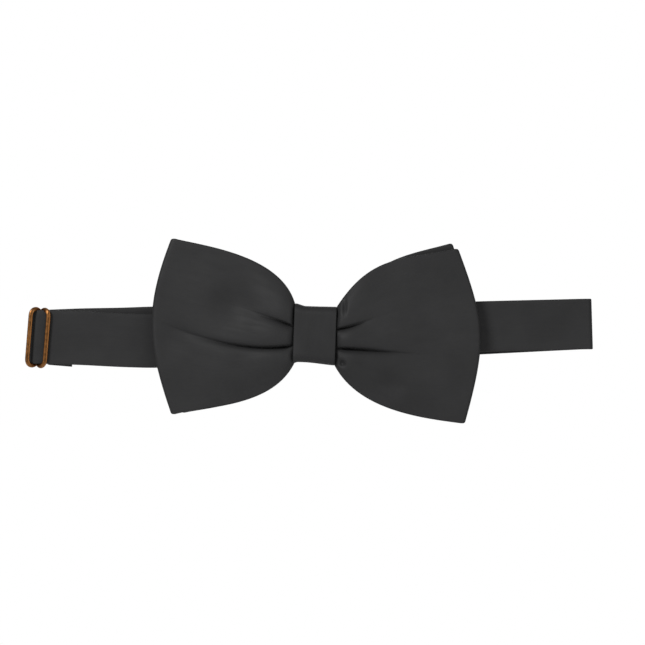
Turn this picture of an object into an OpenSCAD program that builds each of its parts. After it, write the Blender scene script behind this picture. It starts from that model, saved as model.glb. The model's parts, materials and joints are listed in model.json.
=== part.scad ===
// Pre-tied bow tie on an adjustable neckband, laid flat: millimetres, worn upright.
// +X to the right seen from the front, +Z up, the front faces -Y, and y = 0 is the back plane.
// Depths are measured forward from the back plane, so a depth d lies at y = -d.

/* [Neckband] */
// Width of the neckband
strap_w = 19; // [14:0.5:24]
// Thickness of the sewn band
strap_t = 0.8; // [0.6:0.05:1.2]
// Thickness of one ply of the band's satin
satin_t = 0.22; // [0.15:0.01:0.25]
// From the knot centre to the fold beside the adjuster
left_fold_at = 104.9; // [90:0.1:130]
// From the knot centre to the plain fold
right_fold_at = 103.1; // [90:0.1:130]
// Height of the band's middle line at the adjuster's fold
left_end_z = -0.9; // [-4:0.1:4]
// Height of the band's middle line at the plain fold
right_end_z = 4.3; // [-6:0.1:6]
// Height of the band's middle line where it leaves the left wing
left_wing_z = -2.2; // [-4:0.1:4]
// Height of the band's middle line where it leaves the right wing
right_wing_z = 3.3; // [-4:0.1:5]
// Height of the band's middle line at the hook and the eye
closure_z = 0.9; // [-2:0.1:5]
// The rear layer's middle line over the front one's at the left wing
left_rear_rise = 3; // [0:0.1:5]
// The rear layer's middle line under the front one's at the right wing
right_rear_drop = 1.1; // [0:0.1:5]

/* [Bow] */
// From the knot centre to the corners of the front wings
wing_reach = 54; // [44:0.5:64]
// How far a wing's end bows out past its corners
wing_bulge = 7.4; // [3:0.2:9]
// Height of a wing's end, corner to corner
wing_h = 65.4; // [50:0.2:80]
// How far the left wing's end stands above the knot
left_lift = 3; // [-5:0.1:5]
// How far the right wing's end stands above the knot
right_lift = -0.2; // [-5:0.1:5]
// How far the front ply puffs out between the knot and the wing's end
wing_puff = 5.2; // [2:0.1:7]
// How much lower than the neckband the bows are where the knot gathers them
waist_under = 0.4; // [0:0.1:3]
// How much shorter the back bow's wings are
back_bow_short = 2; // [0.5:0.1:4]
// How far the back bow's left wing stands above the knot
back_left_lift = 2.2; // [-5:0.1:5]
// How far the back bow's right wing stands above the knot
back_right_lift = 1.8; // [-5:0.1:5]

/* [Knot] */
// Width of the knot
knot_w = 15.8; // [12:0.2:20]
// How much taller than the neckband the knot is
knot_over = 3.6; // [3.2:0.1:7]
// Turn of the knot, its top towards the right
knot_tilt = 2; // [0:0.5:2]
// Thickness of the wrap's satin
wrap_t = 0.6; // [0.4:0.05:0.8]
// Thickness of the wrap's interlining
wrap_lining_t = 0.3; // [0.2:0.05:0.4]
// Thickness of the padding at its crown
pad_t = 4; // [2:0.2:5]

/* [Hardware] */
// Diameter of the adjuster's outer bars
slide_wire = 1.3; // [1:0.1:1.6]
// Diameter of the adjuster's centre bar
centre_bar = 1.2; // [0.8:0.1:1.4]
// Width of the adjuster across its outer bars
slide_w = 8; // [7:0.2:10]
// Room between the band's edges and the adjuster's rounded ends
slide_room = 1.4; // [1.2:0.1:3]
// Turn of the adjuster, its top towards the right
slide_tilt = 4; // [0:0.5:4]
// From the adjuster's fold to its centre bar
slide_inset = 0.8; // [0.6:0.1:1.2]
// Thread length of the sewn tail past the centre bar
tail_len = 12; // [8:0.5:20]
// Diameter of the bars of the hook and the eye
loop_bar = 0.9; // [0.7:0.1:1.2]
// From the knot centre to the hook's bar
hook_bar_at = 20; // [14:0.5:26]
// From the hook's bar to the inside of its turned tip
hook_reach = 10.7; // [9:0.1:14]
// Thickness of the hook's plate
hook_t = 0.7; // [0.5:0.1:0.8]
// Width of the hook's tongue
tongue_w = 8; // [5:0.5:12]
// Play between the hook's tip and the eye's bar
hook_play = 1.15; // [1:0.05:2]
// Length of the eye between its bars
eye_len = 6.9; // [6:0.1:10]
// Gap between the hook's tongue and the eye's bar in front of it
tongue_gap = 0.2; // [0.1:0.05:0.3]

/* [Fits] */
// Gap between layers that move past each other
layer_gap = 0.3; // [0.25:0.05:0.5]
// Gap between plies that are sewn together
ply_gap = 0.05; // [0.03:0.01:0.08]
// Play of a band's turn round a bar
turn_play = 0.1; // [0.05:0.01:0.2]

/* [Hidden] */

SATIN = [0.22, 0.22, 0.225];
LINING = [0.13, 0.13, 0.14];
CANVAS = [0.86, 0.84, 0.78];
THREAD = [0.1, 0.1, 0.1];
BRONZE = [0.48, 0.29, 0.15];

// Depths of the layers, from the back plane forwards
bar_r = loop_bar / 2;
turn_inner = bar_r + turn_play;
turn_outer = turn_inner + strap_t;
doubled_d = 2 * turn_outer;
tail_wrap_t = 0.45;
centre_r = centre_bar / 2;
sewn_r = centre_r + ply_gap + tail_wrap_t;
sewn_d = doubled_d + layer_gap + sewn_r;
front_back_d = sewn_d + sewn_r + layer_gap;
front_face_d = front_back_d + strap_t;
wire_r = slide_wire / 2;
outer_bar_d = front_face_d + layer_gap + wire_r;
fold_r = front_face_d / 2;

// The two bows: ply thicknesses, fold radii, and the depth of the middle of each fold
bow_satin_t = 0.4;
bow_canvas_t = 0.3;
bow_lining_t = 0.25;
thread_d = 0.4;
front_fold_r = 1.5;
back_fold_r = 1.2;
back_puff = 0.5;
back_bow_d = front_face_d + layer_gap + thread_d + ply_gap + back_fold_r;
front_bow_d = back_bow_d + back_fold_r + back_puff + layer_gap + front_fold_r;
waist_h = strap_w - waist_under;
waist_d = 2.2;
waist_x = knot_w / 2 + 0.6;
waist_front_d = front_bow_d + waist_d;
edge_step = 0.5;
wing_spread = 0.45;

// The knot: its wrap lies round the band and the bows' waist
knot_z = 0.1;
knot_h = strap_w + knot_over;
wrap_inner_d = front_back_d - layer_gap + ply_gap;
pad_back_d = waist_front_d + ply_gap + thread_d + ply_gap;
pad_front_d = pad_back_d + pad_t;
wrap_all_t = wrap_t + ply_gap + wrap_lining_t;
knot_back_d = wrap_inner_d - wrap_all_t;
knot_front_d = pad_front_d + ply_gap + wrap_all_t;
knot_corner = 4;
back_corner = wrap_all_t + 0.1;

// Middle lines of the band's stretches, as points across and up
knot_half = knot_w / 2 + 0.3;
wing_edge = wing_reach + wing_bulge;
front_line = [[-left_fold_at, left_end_z], [-wing_edge, left_wing_z], [-knot_half, 0.2],
    [knot_half, 0.2], [wing_edge, right_wing_z], [right_fold_at, right_end_z]];
left_rear_line = [[-left_fold_at, left_end_z], [-wing_edge, left_wing_z + left_rear_rise],
    [hook_bar_at, closure_z]];
eye_bar_at = hook_bar_at + hook_reach - hook_play - bar_r + eye_len;
right_rear_line = [[eye_bar_at, closure_z], [wing_edge, right_wing_z - right_rear_drop],
    [right_fold_at, right_end_z]];
// The tucked end's rise, about that of the band over it
tuck_rise = 0.3;
slide_x = -left_fold_at + slide_inset;
slide_z = left_end_z - 0.3;
slide_h = strap_w + slide_room + 2 * slide_wire;
stitch_r = 0.15;
small_fn = 32;
round_fn = 64;

// A closed solid between two depths, from a 2D outline drawn across and up
module slab(back_d, front_d) {
    translate([0, -back_d, 0])
        rotate([90, 0, 0])
            linear_extrude(front_d - back_d)
                children();
}

// Outline of a band along a middle line, with its ends cut upright
module band_outline(line, w) {
    above = [for (p = line) [p[0], p[1] + w / 2]];
    below = [for (i = [len(line) - 1 : -1 : 0]) [line[i][0], line[i][1] - w / 2]];
    polygon(concat(above, below));
}

// A stretch of band: a flat satin tube, open at both ends
module satin_tube(line, back_d) {
    wall = satin_t + ply_gap;
    difference() {
        slab(back_d, back_d + strap_t)
            band_outline(line, strap_w);
        slab(back_d + satin_t, back_d + strap_t - satin_t)
            band_outline(longer(line), strap_w - 2 * wall);
    }
}

// The same line run on a little past both ends, to cut through them
function longer(line) = [for (i = [0 : len(line) - 1])
    [line[i][0] + (i == 0 ? sign(line[0][0] - line[1][0]) : i == len(line) - 1
        ? sign(line[i][0] - line[i - 1][0]) : 0), line[i][1]]];

// The interlining strip inside a stretch of band
module band_core(line, back_d) {
    slab(back_d + satin_t + ply_gap, back_d + strap_t - satin_t - ply_gap)
        band_outline(line, strap_w - 2 * (satin_t + 4 * ply_gap));
}

// Half a ring round an upright axis, open towards +X, as a band takes in a fold
module half_turn(x, d, z, outer, t, h) {
    translate([x, -d, z - h / 2])
        rotate([0, 0, 90])
            rotate_extrude(angle = 180, $fn = round_fn)
                translate([outer - t, 0])
                    square([t, h]);
}

// One ply of a bow, swept round its loop: front ply, fold, rear ply, fold
loop_steps = [0, 0.04, 0.12, 0.25, 0.4, 0.6, 0.8, 1];
last_step = len(loop_steps) - 1;
fold_angles = [45, 90, 135];
rows = 6;
function loop_stations() = concat(
    [for (i = [last_step : -1 : 0]) [-1, loop_steps[i], 0]],
    [for (i = [0 : last_step]) [1, loop_steps[i], 0]],
    [for (a = fold_angles) [1, 1, a]],
    [for (i = [last_step : -1 : 0]) [1, loop_steps[i], 180]],
    [for (i = [0 : last_step]) [-1, loop_steps[i], 180]],
    [for (i = [len(fold_angles) - 1 : -1 : 0]) [-1, 1, fold_angles[i]]]);
function wing_x(u, v, reach, r) =
    waist_x + (reach - r - waist_x) * u + wing_bulge * (1 - v * v) * u * u;
function ply_depth(u, v, a, off, r, waist, puff) =
    a == 0 ? waist * (1 - u) + r * u + puff * sin(180 * pow(u, 0.7)) * (1 - 0.45 * v * v) - off
    : (r - off) * cos(a);
function loop_point(st, v, off, reach, r, mid_d, waist, puff, lifts, inset) = let (u = st[1])
    [st[0] * (wing_x(u, v, reach, r) + (u == 1 ? (r - off) * sin(st[2]) : 0)),
     -mid_d - ply_depth(u, v, st[2], off, r, waist, puff),
     (st[0] < 0 ? lifts[0] : lifts[1]) * u - (abs(v) == 1 ? sign(v) * inset : 0)
         + v * (waist_h / 2 + (wing_h - waist_h) / 2 * pow(u, wing_spread))];

module bow_ply(reach, r, mid_d, waist, puff, lifts, off, t, inset) {
    stations = loop_stations();
    ring = 2 * (rows + 1);
    points = [for (st = stations) for (k = [0 : ring - 1])
        let (front = k <= rows, row = front ? k : ring - 1 - k)
            loop_point(st, 2 * row / rows - 1, front ? off : off + t,
                reach, r, mid_d, waist, puff, lifts, inset)];
    // Both faces of a ply are split along the same diagonals, so that plies lie parallel
    faces = [for (i = [0 : len(stations) - 1]) for (k = [0 : ring - 1])
        let (a = i * ring, b = (i + 1) % len(stations) * ring, n = (k + 1) % ring)
            each k > rows ? [[a + k, a + n, b + k], [a + n, b + n, b + k]]
                : [[a + k, b + n, b + k], [a + k, a + n, b + n]]];
    polyhedron(points, faces);
}

module front_ply(off, t, inset) {
    bow_ply(wing_reach, front_fold_r, front_bow_d, waist_d, wing_puff, [left_lift, right_lift],
        off, t, inset);
}

module back_ply(off, t, inset) {
    bow_ply(wing_reach - back_bow_short, back_fold_r, back_bow_d, back_fold_r, back_puff,
        [back_left_lift, back_right_lift], off, t, inset);
}

module front_bow_satin() {
    color(SATIN) front_ply(0, bow_satin_t, 0);
}

module front_bow_interlining() {
    color(CANVAS) front_ply(bow_satin_t + ply_gap, bow_canvas_t, edge_step);
}

module front_bow_lining() {
    color(LINING) front_ply(bow_satin_t + bow_canvas_t + 2 * ply_gap, bow_lining_t, 2 * edge_step);
}

module back_bow_satin() {
    color(SATIN) back_ply(0, bow_satin_t, 0);
}

module back_bow_interlining() {
    color(CANVAS) back_ply(bow_satin_t + ply_gap, bow_canvas_t, edge_step);
}

// Rounded rectangle between two depths, drawn as depth across and height up
module rounded(back_d, front_d, h, back_r, front_r) {
    for (up = [-1, 1]) {
        translate([back_d + back_r, up * (h / 2 - back_r)])
            circle(back_r, $fn = round_fn);
        translate([front_d - front_r, up * (h / 2 - front_r)])
            circle(front_r, $fn = round_fn);
    }
    translate([back_d + back_r, -h / 2])
        square([front_d - back_d - back_r - front_r, h]);
    translate([back_d, back_r - h / 2])
        square([front_d - front_r - back_d, h - 2 * back_r]);
    translate([back_d + back_r, front_r - h / 2])
        square([front_d - back_d - back_r, h - 2 * front_r]);
}

// A ring round the bow's waist, from an outline of depth and height, run along X
module round_waist(x0, x1) {
    translate([x0, 0, knot_z])
        rotate([90, 0, -90])
            mirror([0, 0, 1])
                linear_extrude(x1 - x0)
                    children();
}

module waist_binding() {
    turns = 6;
    pitch = 1.25 * thread_d;
    inner_back = back_bow_d - back_fold_r - ply_gap;
    inner_front = waist_front_d + ply_gap;
    for (i = [0 : turns - 1])
        color(THREAD)
            translate([(i - turns / 2) * pitch, 0, 0])
                round_waist(0, thread_d)
                    difference() {
                        rounded(inner_back - thread_d, inner_front + thread_d,
                            waist_h + 2 * (2 * ply_gap + thread_d), 0.5, 0.5);
                        rounded(inner_back, inner_front, waist_h + 4 * ply_gap, 0.1, 0.1);
                    }
}

module knot_padding() {
    pad_h = knot_h - 2 * wrap_all_t - 2;
    crown_r = (pow(pad_h / 2, 2) + pow(pad_t, 2)) / (2 * pad_t) + 2;
    color(CANVAS)
        round_waist(-knot_w / 2 + 1, knot_w / 2 - 1)
            intersection() {
                translate([pad_back_d, -pad_h / 2])
                    square([pad_t, pad_h]);
                translate([pad_front_d - crown_r, 0])
                    circle(crown_r, $fn = round_fn);
            }
}

// Outline of the knot's wrap at a distance out from its inside
module wrap_outline(out) {
    rounded(wrap_inner_d - out, pad_front_d + ply_gap + out, knot_h - 2 * (wrap_all_t - out),
        back_corner - wrap_all_t + out, knot_corner - wrap_all_t + out);
}

// A ring of the knot's wrap, between two distances out from its inside
module knot_ring(inner, outer, w) {
    rotate([0, knot_tilt, 0])
        round_waist(-w / 2, w / 2)
            difference() {
                wrap_outline(outer);
                wrap_outline(inner);
            }
}

module knot_interlining() {
    color(CANVAS) knot_ring(0, wrap_lining_t, knot_w - 2 * edge_step);
}

module knot_wrap() {
    color(SATIN) knot_ring(wrap_lining_t + ply_gap, wrap_all_t, knot_w);
}

module knot_closing_stitches() {
    count = 7;
    pitch = knot_h / (count + 3);
    stitch_len = 2.4;
    color(THREAD)
        for (i = [0 : count - 1])
            translate([-stitch_len / 2, -knot_back_d + stitch_r, knot_z + (i - 3) * pitch])
                rotate([0, 90, 0])
                    cylinder(h = stitch_len, r = stitch_r, $fn = small_fn);
}

module front_strap_satin() {
    color(SATIN) satin_tube(front_line, front_back_d);
}

module front_strap_interlining() {
    color(CANVAS) band_core(front_line, front_back_d);
}

module left_strap_fold() {
    color(SATIN) half_turn(-left_fold_at, fold_r, left_end_z, fold_r, strap_t, strap_w);
}

module right_strap_fold() {
    color(SATIN)
        mirror([1, 0, 0])
            half_turn(-right_fold_at, fold_r, right_end_z, fold_r, strap_t, strap_w);
}

// The figure-eight adjuster: two bars in front of the band and one behind it, joined past
// the band's edges by rounded ends
module slide_frame() {
    pitch = slide_w / 2 - wire_r;
    rise = outer_bar_d - sewn_d;
    end_r = norm([pitch, rise]) / 2;
    bar_half = slide_h / 2 - wire_r - end_r;
    bend_r = wire_r - 0.03;
    hub_r = wire_r + 0.1;
    color(BRONZE)
        translate([slide_x, 0, slide_z])
            rotate([0, slide_tilt, 0]) {
                for (side = [-1, 1])
                    translate([side * pitch, -outer_bar_d, -bar_half])
                        cylinder(h = 2 * bar_half, r = wire_r, $fn = small_fn);
                for (side = [-1, 1], end = [0, 1])
                    mirror([0, 0, end])
                        translate([side * pitch / 2, -(outer_bar_d + sewn_d) / 2, bar_half])
                            rotate([0, 0, atan2(rise, -side * pitch)])
                                rotate([90, 0, 0])
                                    rotate_extrude(angle = 180, $fn = small_fn)
                                        translate([end_r, 0])
                                            circle(bend_r, $fn = small_fn);
                translate([0, -sewn_d, -bar_half])
                    cylinder(h = 2 * bar_half, r = centre_r, $fn = small_fn);
                for (end = [0, 1])
                    mirror([0, 0, end])
                        translate([0, -sewn_d, bar_half - hub_r / 2])
                            cylinder(h = hub_r, r = hub_r, $fn = small_fn);
            }
}

// The end of the band, turned round the adjuster's centre bar and sewn down
module sewn_strap_end() {
    tail_t = 2 * tail_wrap_t + 2 * ply_gap;
    end_h = strap_w - 3;
    color(SATIN)
        translate([slide_x, -sewn_d, slide_z])
            rotate([0, slide_tilt, 0])
                difference() {
                    union() {
                        translate([0, 0, -end_h / 2])
                            cylinder(h = end_h, r = sewn_r, $fn = small_fn);
                        translate([0, -tail_t / 2, -end_h / 2])
                            cube([tail_len, tail_t, end_h]);
                    }
                    translate([0, 0, -end_h])
                        cylinder(h = 2 * end_h, r = centre_r + ply_gap, $fn = small_fn);
                }
}

module sewn_end_stitches() {
    count = 6;
    stitch_len = 2;
    tail_t = 2 * tail_wrap_t + 2 * ply_gap;
    pitch = strap_w / (count + 1.5);
    color(THREAD)
        translate([slide_x, -sewn_d, slide_z])
            rotate([0, slide_tilt, 0])
                for (i = [0 : count - 1])
                    translate([tail_len - 4, tail_t / 2 + stitch_r,
                            (i - (count - 1) / 2) * pitch - stitch_len / 2])
                        cylinder(h = stitch_len, r = stitch_r, $fn = small_fn);
}

// The doubled stretch of band: out from the fold, round the hook's bar and back
module left_rear_satin() {
    inner_line = [[slide_x + sewn_r + 1, inner_z(slide_x + sewn_r + 1)],
        left_rear_line[1], left_rear_line[2]];
    color(SATIN) {
        satin_tube(left_rear_line, 0);
        satin_tube(inner_line, doubled_d - strap_t);
        mirror([1, 0, 0])
            half_turn(-hook_bar_at, turn_outer, closure_z, turn_outer, strap_t, strap_w);
    }
}

// Height of the doubled stretch's middle line at a place across
function inner_z(x) = left_end_z
    + (left_rear_line[1].y - left_end_z) * (x + left_fold_at) / (left_fold_at - wing_edge);

module left_rear_interlining() {
    start = slide_x + sewn_r + 2;
    bend = left_rear_line[1];
    stop = [hook_bar_at - 0.1, closure_z];
    color(CANVAS) {
        band_core([left_rear_line[0], bend, stop], 0);
        band_core([[start, inner_z(start)], bend, stop], doubled_d - strap_t);
    }
}

// The plain side of the band, turned round the eye's bar with its end tucked in
module right_rear_satin() {
    tuck = 14;
    tuck_line = [[eye_bar_at, closure_z], [eye_bar_at + tuck, closure_z + tuck_rise]];
    color(SATIN) {
        satin_tube(right_rear_line, 0);
        satin_tube(tuck_line, doubled_d - strap_t);
        half_turn(eye_bar_at, turn_outer, closure_z, turn_outer, strap_t, strap_w);
    }
}

module right_rear_interlining() {
    start = eye_bar_at + 0.1;
    color(CANVAS) {
        band_core([[start, closure_z], right_rear_line[1], right_rear_line[2]], 0);
        band_core([[start, closure_z], [start + 12, closure_z + tuck_rise]], doubled_d - strap_t);
    }
}

module eye_end_stitches() {
    count = 6;
    pitch = strap_w / (count + 0.5);
    post = doubled_d - 2 * strap_t;
    color(THREAD)
        for (i = [0 : count - 1], column = [0, 1])
            translate([eye_bar_at + 9 + 2 * column, -strap_t,
                    closure_z + tuck_rise + (i - (count - 1) / 2) * pitch])
                rotate([90, 0, 0])
                    cylinder(h = post, r = stitch_r, $fn = small_fn);
}

// The hook: a bar in the band's turn, two arms past its edges, and a tongue with a turned tip
module hook_plate() {
    arm_z = strap_w / 2 + layer_gap + bar_r;
    arm_len = turn_outer + layer_gap;
    cross_w = 1.8;
    tongue_d = turn_outer - bar_r - tongue_gap - hook_t;
    tip_d = doubled_d - 0.1;
    plate_top = arm_z + bar_r;
    color(BRONZE)
        translate([hook_bar_at, 0, closure_z]) {
            translate([0, -turn_outer, -plate_top])
                cylinder(h = 2 * plate_top, r = bar_r, $fn = small_fn);
            for (side = [-1, 1])
                translate([0, -turn_outer - bar_r, side * arm_z - bar_r])
                    cube([arm_len + cross_w, loop_bar, loop_bar]);
            translate([arm_len, -turn_outer - bar_r, -plate_top])
                cube([cross_w, turn_outer + bar_r - tongue_d, 2 * plate_top]);
            translate([arm_len, -tongue_d - hook_t, -tongue_w / 2])
                cube([hook_reach + hook_t - arm_len, hook_t, tongue_w]);
            translate([hook_reach, -tip_d, -tongue_w / 2])
                cube([hook_t, tip_d - tongue_d, tongue_w]);
        }
}

// The eye: a closed ring, one bar in the band's turn and the other behind the hook's tongue
module eye_ring() {
    arm_z = strap_w / 2 + layer_gap + bar_r;
    arm_r = 0.85 * bar_r;
    color(BRONZE)
        translate([eye_bar_at, -turn_outer, closure_z]) {
            for (x = [-eye_len, 0])
                translate([x, 0, -arm_z - bar_r])
                    cylinder(h = 2 * (arm_z + bar_r), r = bar_r, $fn = small_fn);
            for (side = [-1, 1])
                translate([-eye_len, 0, side * arm_z])
                    rotate([0, 90, 0])
                        cylinder(h = eye_len, r = arm_r, $fn = small_fn);
        }
}

front_bow_satin();
front_bow_interlining();
front_bow_lining();
back_bow_satin();
back_bow_interlining();
waist_binding();
knot_padding();
knot_interlining();
knot_wrap();
knot_closing_stitches();
front_strap_satin();
front_strap_interlining();
left_strap_fold();
right_strap_fold();
slide_frame();
sewn_strap_end();
sewn_end_stitches();
left_rear_satin();
left_rear_interlining();
right_rear_satin();
right_rear_interlining();
eye_end_stitches();
hook_plate();
eye_ring();
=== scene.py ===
import json
import math
from collections import namedtuple

import bmesh
import bpy
import numpy as np
from bpy.props import FloatProperty, FloatVectorProperty, IntProperty, PointerProperty
from mathutils import Matrix, Vector, noise


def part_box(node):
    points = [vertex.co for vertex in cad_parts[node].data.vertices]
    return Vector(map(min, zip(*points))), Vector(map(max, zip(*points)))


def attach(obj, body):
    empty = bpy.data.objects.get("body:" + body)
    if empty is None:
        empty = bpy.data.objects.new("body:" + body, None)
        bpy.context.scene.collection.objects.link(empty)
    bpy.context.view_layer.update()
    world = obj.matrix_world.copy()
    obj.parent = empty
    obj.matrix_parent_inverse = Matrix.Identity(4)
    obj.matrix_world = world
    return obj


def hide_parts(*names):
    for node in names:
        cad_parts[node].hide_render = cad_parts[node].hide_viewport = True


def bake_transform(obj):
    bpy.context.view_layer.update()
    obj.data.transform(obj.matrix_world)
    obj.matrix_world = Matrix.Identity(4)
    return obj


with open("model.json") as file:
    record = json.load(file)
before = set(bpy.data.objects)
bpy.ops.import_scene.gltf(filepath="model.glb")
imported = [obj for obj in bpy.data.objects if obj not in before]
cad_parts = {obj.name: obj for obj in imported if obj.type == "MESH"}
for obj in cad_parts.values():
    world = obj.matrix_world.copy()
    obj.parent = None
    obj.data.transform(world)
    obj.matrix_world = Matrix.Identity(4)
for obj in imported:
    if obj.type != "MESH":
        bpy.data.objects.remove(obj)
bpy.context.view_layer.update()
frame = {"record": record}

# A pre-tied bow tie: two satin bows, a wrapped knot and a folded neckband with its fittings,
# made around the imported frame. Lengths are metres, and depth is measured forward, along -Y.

bl_info = {
    "name": "Bow Tie",
    "version": (1, 0, 0),
    "blender": (4, 5, 0),
    "location": "3D View > Sidebar > Bow Tie",
    "description": "Makes a pre-tied satin bow tie with a folded, adjustable neckband",
    "category": "Add Mesh",
}

MM = 0.001
TINY = 1e-9


# --- Places taken from the frame -------------------------------------------------------------

def depths(node):
    """The depths of a node's back and front."""
    low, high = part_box(node)
    return -high.y, -low.y


def joint_place(name):
    """Where a joint's axis stands: across, depth and up."""
    for joint in frame["record"]["behaviour"]["joints"]:
        if joint["name"] == name:
            x, y, z = joint["pos_m"]
            return x, -y, z
    raise RuntimeError(f"the frame has no joint named {name}")


FRONT_BACK_D, FRONT_FACE_D = depths("front_strap_satin")
DOUBLED_D = depths("left_rear_satin")[1]
FOLD_LOW, FOLD_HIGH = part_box("left_strap_fold")
BAND_W = FOLD_HIGH.z - FOLD_LOW.z
BAND_T = FRONT_FACE_D - FRONT_BACK_D
HALF_BAND_T = BAND_T / 2
LEFT_FOLD_X, FOLD_D, _ = joint_place("left_fold")
RIGHT_FOLD_X = joint_place("right_fold")[0]
HOOK_X, TURN_D, CLOSURE_Z = joint_place("hook_swivel")
EYE_X = joint_place("eye_swivel")[0]
LEFT_END_Z = (FOLD_LOW.z + FOLD_HIGH.z) / 2
RIGHT_END_Z = sum(corner.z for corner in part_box("right_strap_fold")) / 2
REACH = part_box("front_bow_satin")[1].x

# The knot, tilted a little as it was wrapped
KNOT_LOW, KNOT_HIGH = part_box("knot_wrap")
KNOT_BACK_D, KNOT_FRONT_D = depths("knot_wrap")
KNOT_TILT = math.radians(2.0)
KNOT_W = 15.8 * MM
KNOT_Z = (KNOT_LOW.z + KNOT_HIGH.z) / 2
KNOT_HALF_H = (KNOT_HIGH.z - KNOT_LOW.z) / 2 - KNOT_W / 2 * math.sin(KNOT_TILT)

# The slide, and the sewn end round its centre bar
SLIDE_LOW, SLIDE_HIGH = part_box("slide_frame")
SLIDE_TILT = math.radians(4.6)
SLIDE_X = (SLIDE_LOW.x + SLIDE_HIGH.x) / 2 - 0.35 * MM
SLIDE_Z = (SLIDE_LOW.z + SLIDE_HIGH.z) / 2
SEWN_D = depths("sewn_strap_end")[0] + 1.1 * MM
SEWN_BACK_Y = -SEWN_D + 0.55 * MM

# Middle lines of the band's stretches, each a list of places across and up
FRONT_LINE = [(LEFT_FOLD_X, LEFT_END_Z), (-REACH, -2.2 * MM), (0.0, 0.2 * MM), (REACH, 3.3 * MM),
              (RIGHT_FOLD_X, RIGHT_END_Z)]
LEFT_REAR_LINE = [(LEFT_FOLD_X, LEFT_END_Z), (-REACH, 0.8 * MM), (HOOK_X, CLOSURE_Z)]
RIGHT_REAR_LINE = [(EYE_X, CLOSURE_Z), (REACH, 2.2 * MM), (RIGHT_FOLD_X, RIGHT_END_Z)]


# --- Settings --------------------------------------------------------------------------------

def length(name, description, default, low=0.0, high=0.1):
    """A setting in metres."""
    return FloatProperty(name=name, description=description, default=default, min=low, max=high,
                         unit="LENGTH", subtype="DISTANCE", precision=5)


def colour(name, description, default):
    """A setting that holds a colour."""
    return FloatVectorProperty(name=name, description=description, default=default, size=4,
                               min=0.0, max=1.0, subtype="COLOR")


class BOWTIE_PG_bows(bpy.types.PropertyGroup):
    """Sizes of the two bows"""
    ply: length("Satin", "Thickness of one ply of the bows' satin", 0.24 * MM)
    thickness: length("Bow thickness", "From a bow's outer face to its inner one", 1.1 * MM)
    hem: length("Hem", "Satin turned in past each long edge", 5.0 * MM)
    puff: length("Puff", "How far the front wings stand forward", 3.6 * MM)
    shoulder: length("Shoulder", "Extra rise of the gathered cloth beside the knot", 3.0 * MM)
    lobe: length("Lobes", "Roundness of the cloth between two creases", 1.3 * MM)
    crease: length("Creases", "Depth of the creases beside the knot", 2.5 * MM)
    overlap: length("Overlap", "How far a pleat's upper side stands over its lower one", 1.7 * MM)
    ripple: length("Ripple", "Height of the cloth's slow unevenness", 0.22 * MM)
    rows: IntProperty(name="Rows", description="Mesh rows across a wing", default=120, min=24)
    stations: IntProperty(name="Stations", description="Mesh stations along a wing", default=54,
                          min=16)


class BOWTIE_PG_knot(bpy.types.PropertyGroup):
    """Sizes of the knot"""
    ply: length("Satin", "Thickness of the wrap's satin", 0.26 * MM)
    edge: length("Edge", "Thickness of the wrap where its side edges turn under", 0.8 * MM)
    hem: length("Hem", "Satin turned under at each side edge", 2.6 * MM)
    crown: length("Crown", "How far the wrap's middle stands over its side edges", 0.5 * MM)
    thread: length("Thread", "Thickness of the binding thread", 0.4 * MM)
    turns: IntProperty(name="Turns", description="Turns of the binding thread", default=6, min=2)
    fill: FloatProperty(name="Fill", description="How full the padding is", default=0.7,
                        min=0.0, max=1.0, subtype="FACTOR")


class BOWTIE_PG_band(bpy.types.PropertyGroup):
    """Sizes of the neckband"""
    ply: length("Satin", "Thickness of one ply of the band's satin", 0.2 * MM)
    core: length("Interlining", "Thickness of the band's interlining", 0.2 * MM)
    fold_reach: length("Fold reach", "How far the right fold reaches past its hinge line",
                       1.9 * MM)
    slide_reach: length("Slide reach", "How far the fold in the slide reaches", 2.8 * MM)
    slack: length("Slack", "Half the extra width of the band's left side", 0.65 * MM)
    droop: length("Droop", "How far the band hangs under its line, away from the closure",
                  0.35 * MM)
    seam: length("Seam", "Depth of the seam along the band's inner face", 0.12 * MM)
    tail: length("Tail", "Length of the sewn end past the adjuster's centre bar", 13.4 * MM)
    stitch: length("Stitch", "Thickness of a stitch's thread", 0.3 * MM)


class BOWTIE_PG_fittings(bpy.types.PropertyGroup):
    """Sizes of the metal fittings"""
    bar_w: length("Bar width", "Width of the adjuster's bars seen from the front", 1.7 * MM)
    bar_t: length("Bar thickness", "Thickness of the adjuster's bars", 1.2 * MM)
    centre_bar: length("Centre bar", "Thickness of the adjuster's centre bar", 1.1 * MM)
    wire: length("Loop wire", "Thickness of the hook's and the eye's wire", 0.9 * MM)
    plate: length("Hook plate", "Thickness of the hook's tongue", 0.7 * MM)


class BOWTIE_PG_finishes(bpy.types.PropertyGroup):
    """Colours of the cloths and the metal"""
    satin: colour("Satin", "Colour of the satin", (0.0152, 0.0152, 0.0156, 1.0))
    lining: colour("Lining", "Colour of the lining", (0.014, 0.014, 0.015, 1.0))
    canvas: colour("Canvas", "Colour of the interlinings", (0.62, 0.58, 0.48, 1.0))
    wadding: colour("Wadding", "Colour of the knot's padding", (0.72, 0.7, 0.64, 1.0))
    thread: colour("Thread", "Colour of the thread", (0.008, 0.008, 0.009, 1.0))
    bronze: colour("Bronze", "Colour of the plated fittings", (0.105, 0.046, 0.015, 1.0))
    weave: length("Weave", "Distance between the satin's threads", 0.24 * MM)


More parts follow.
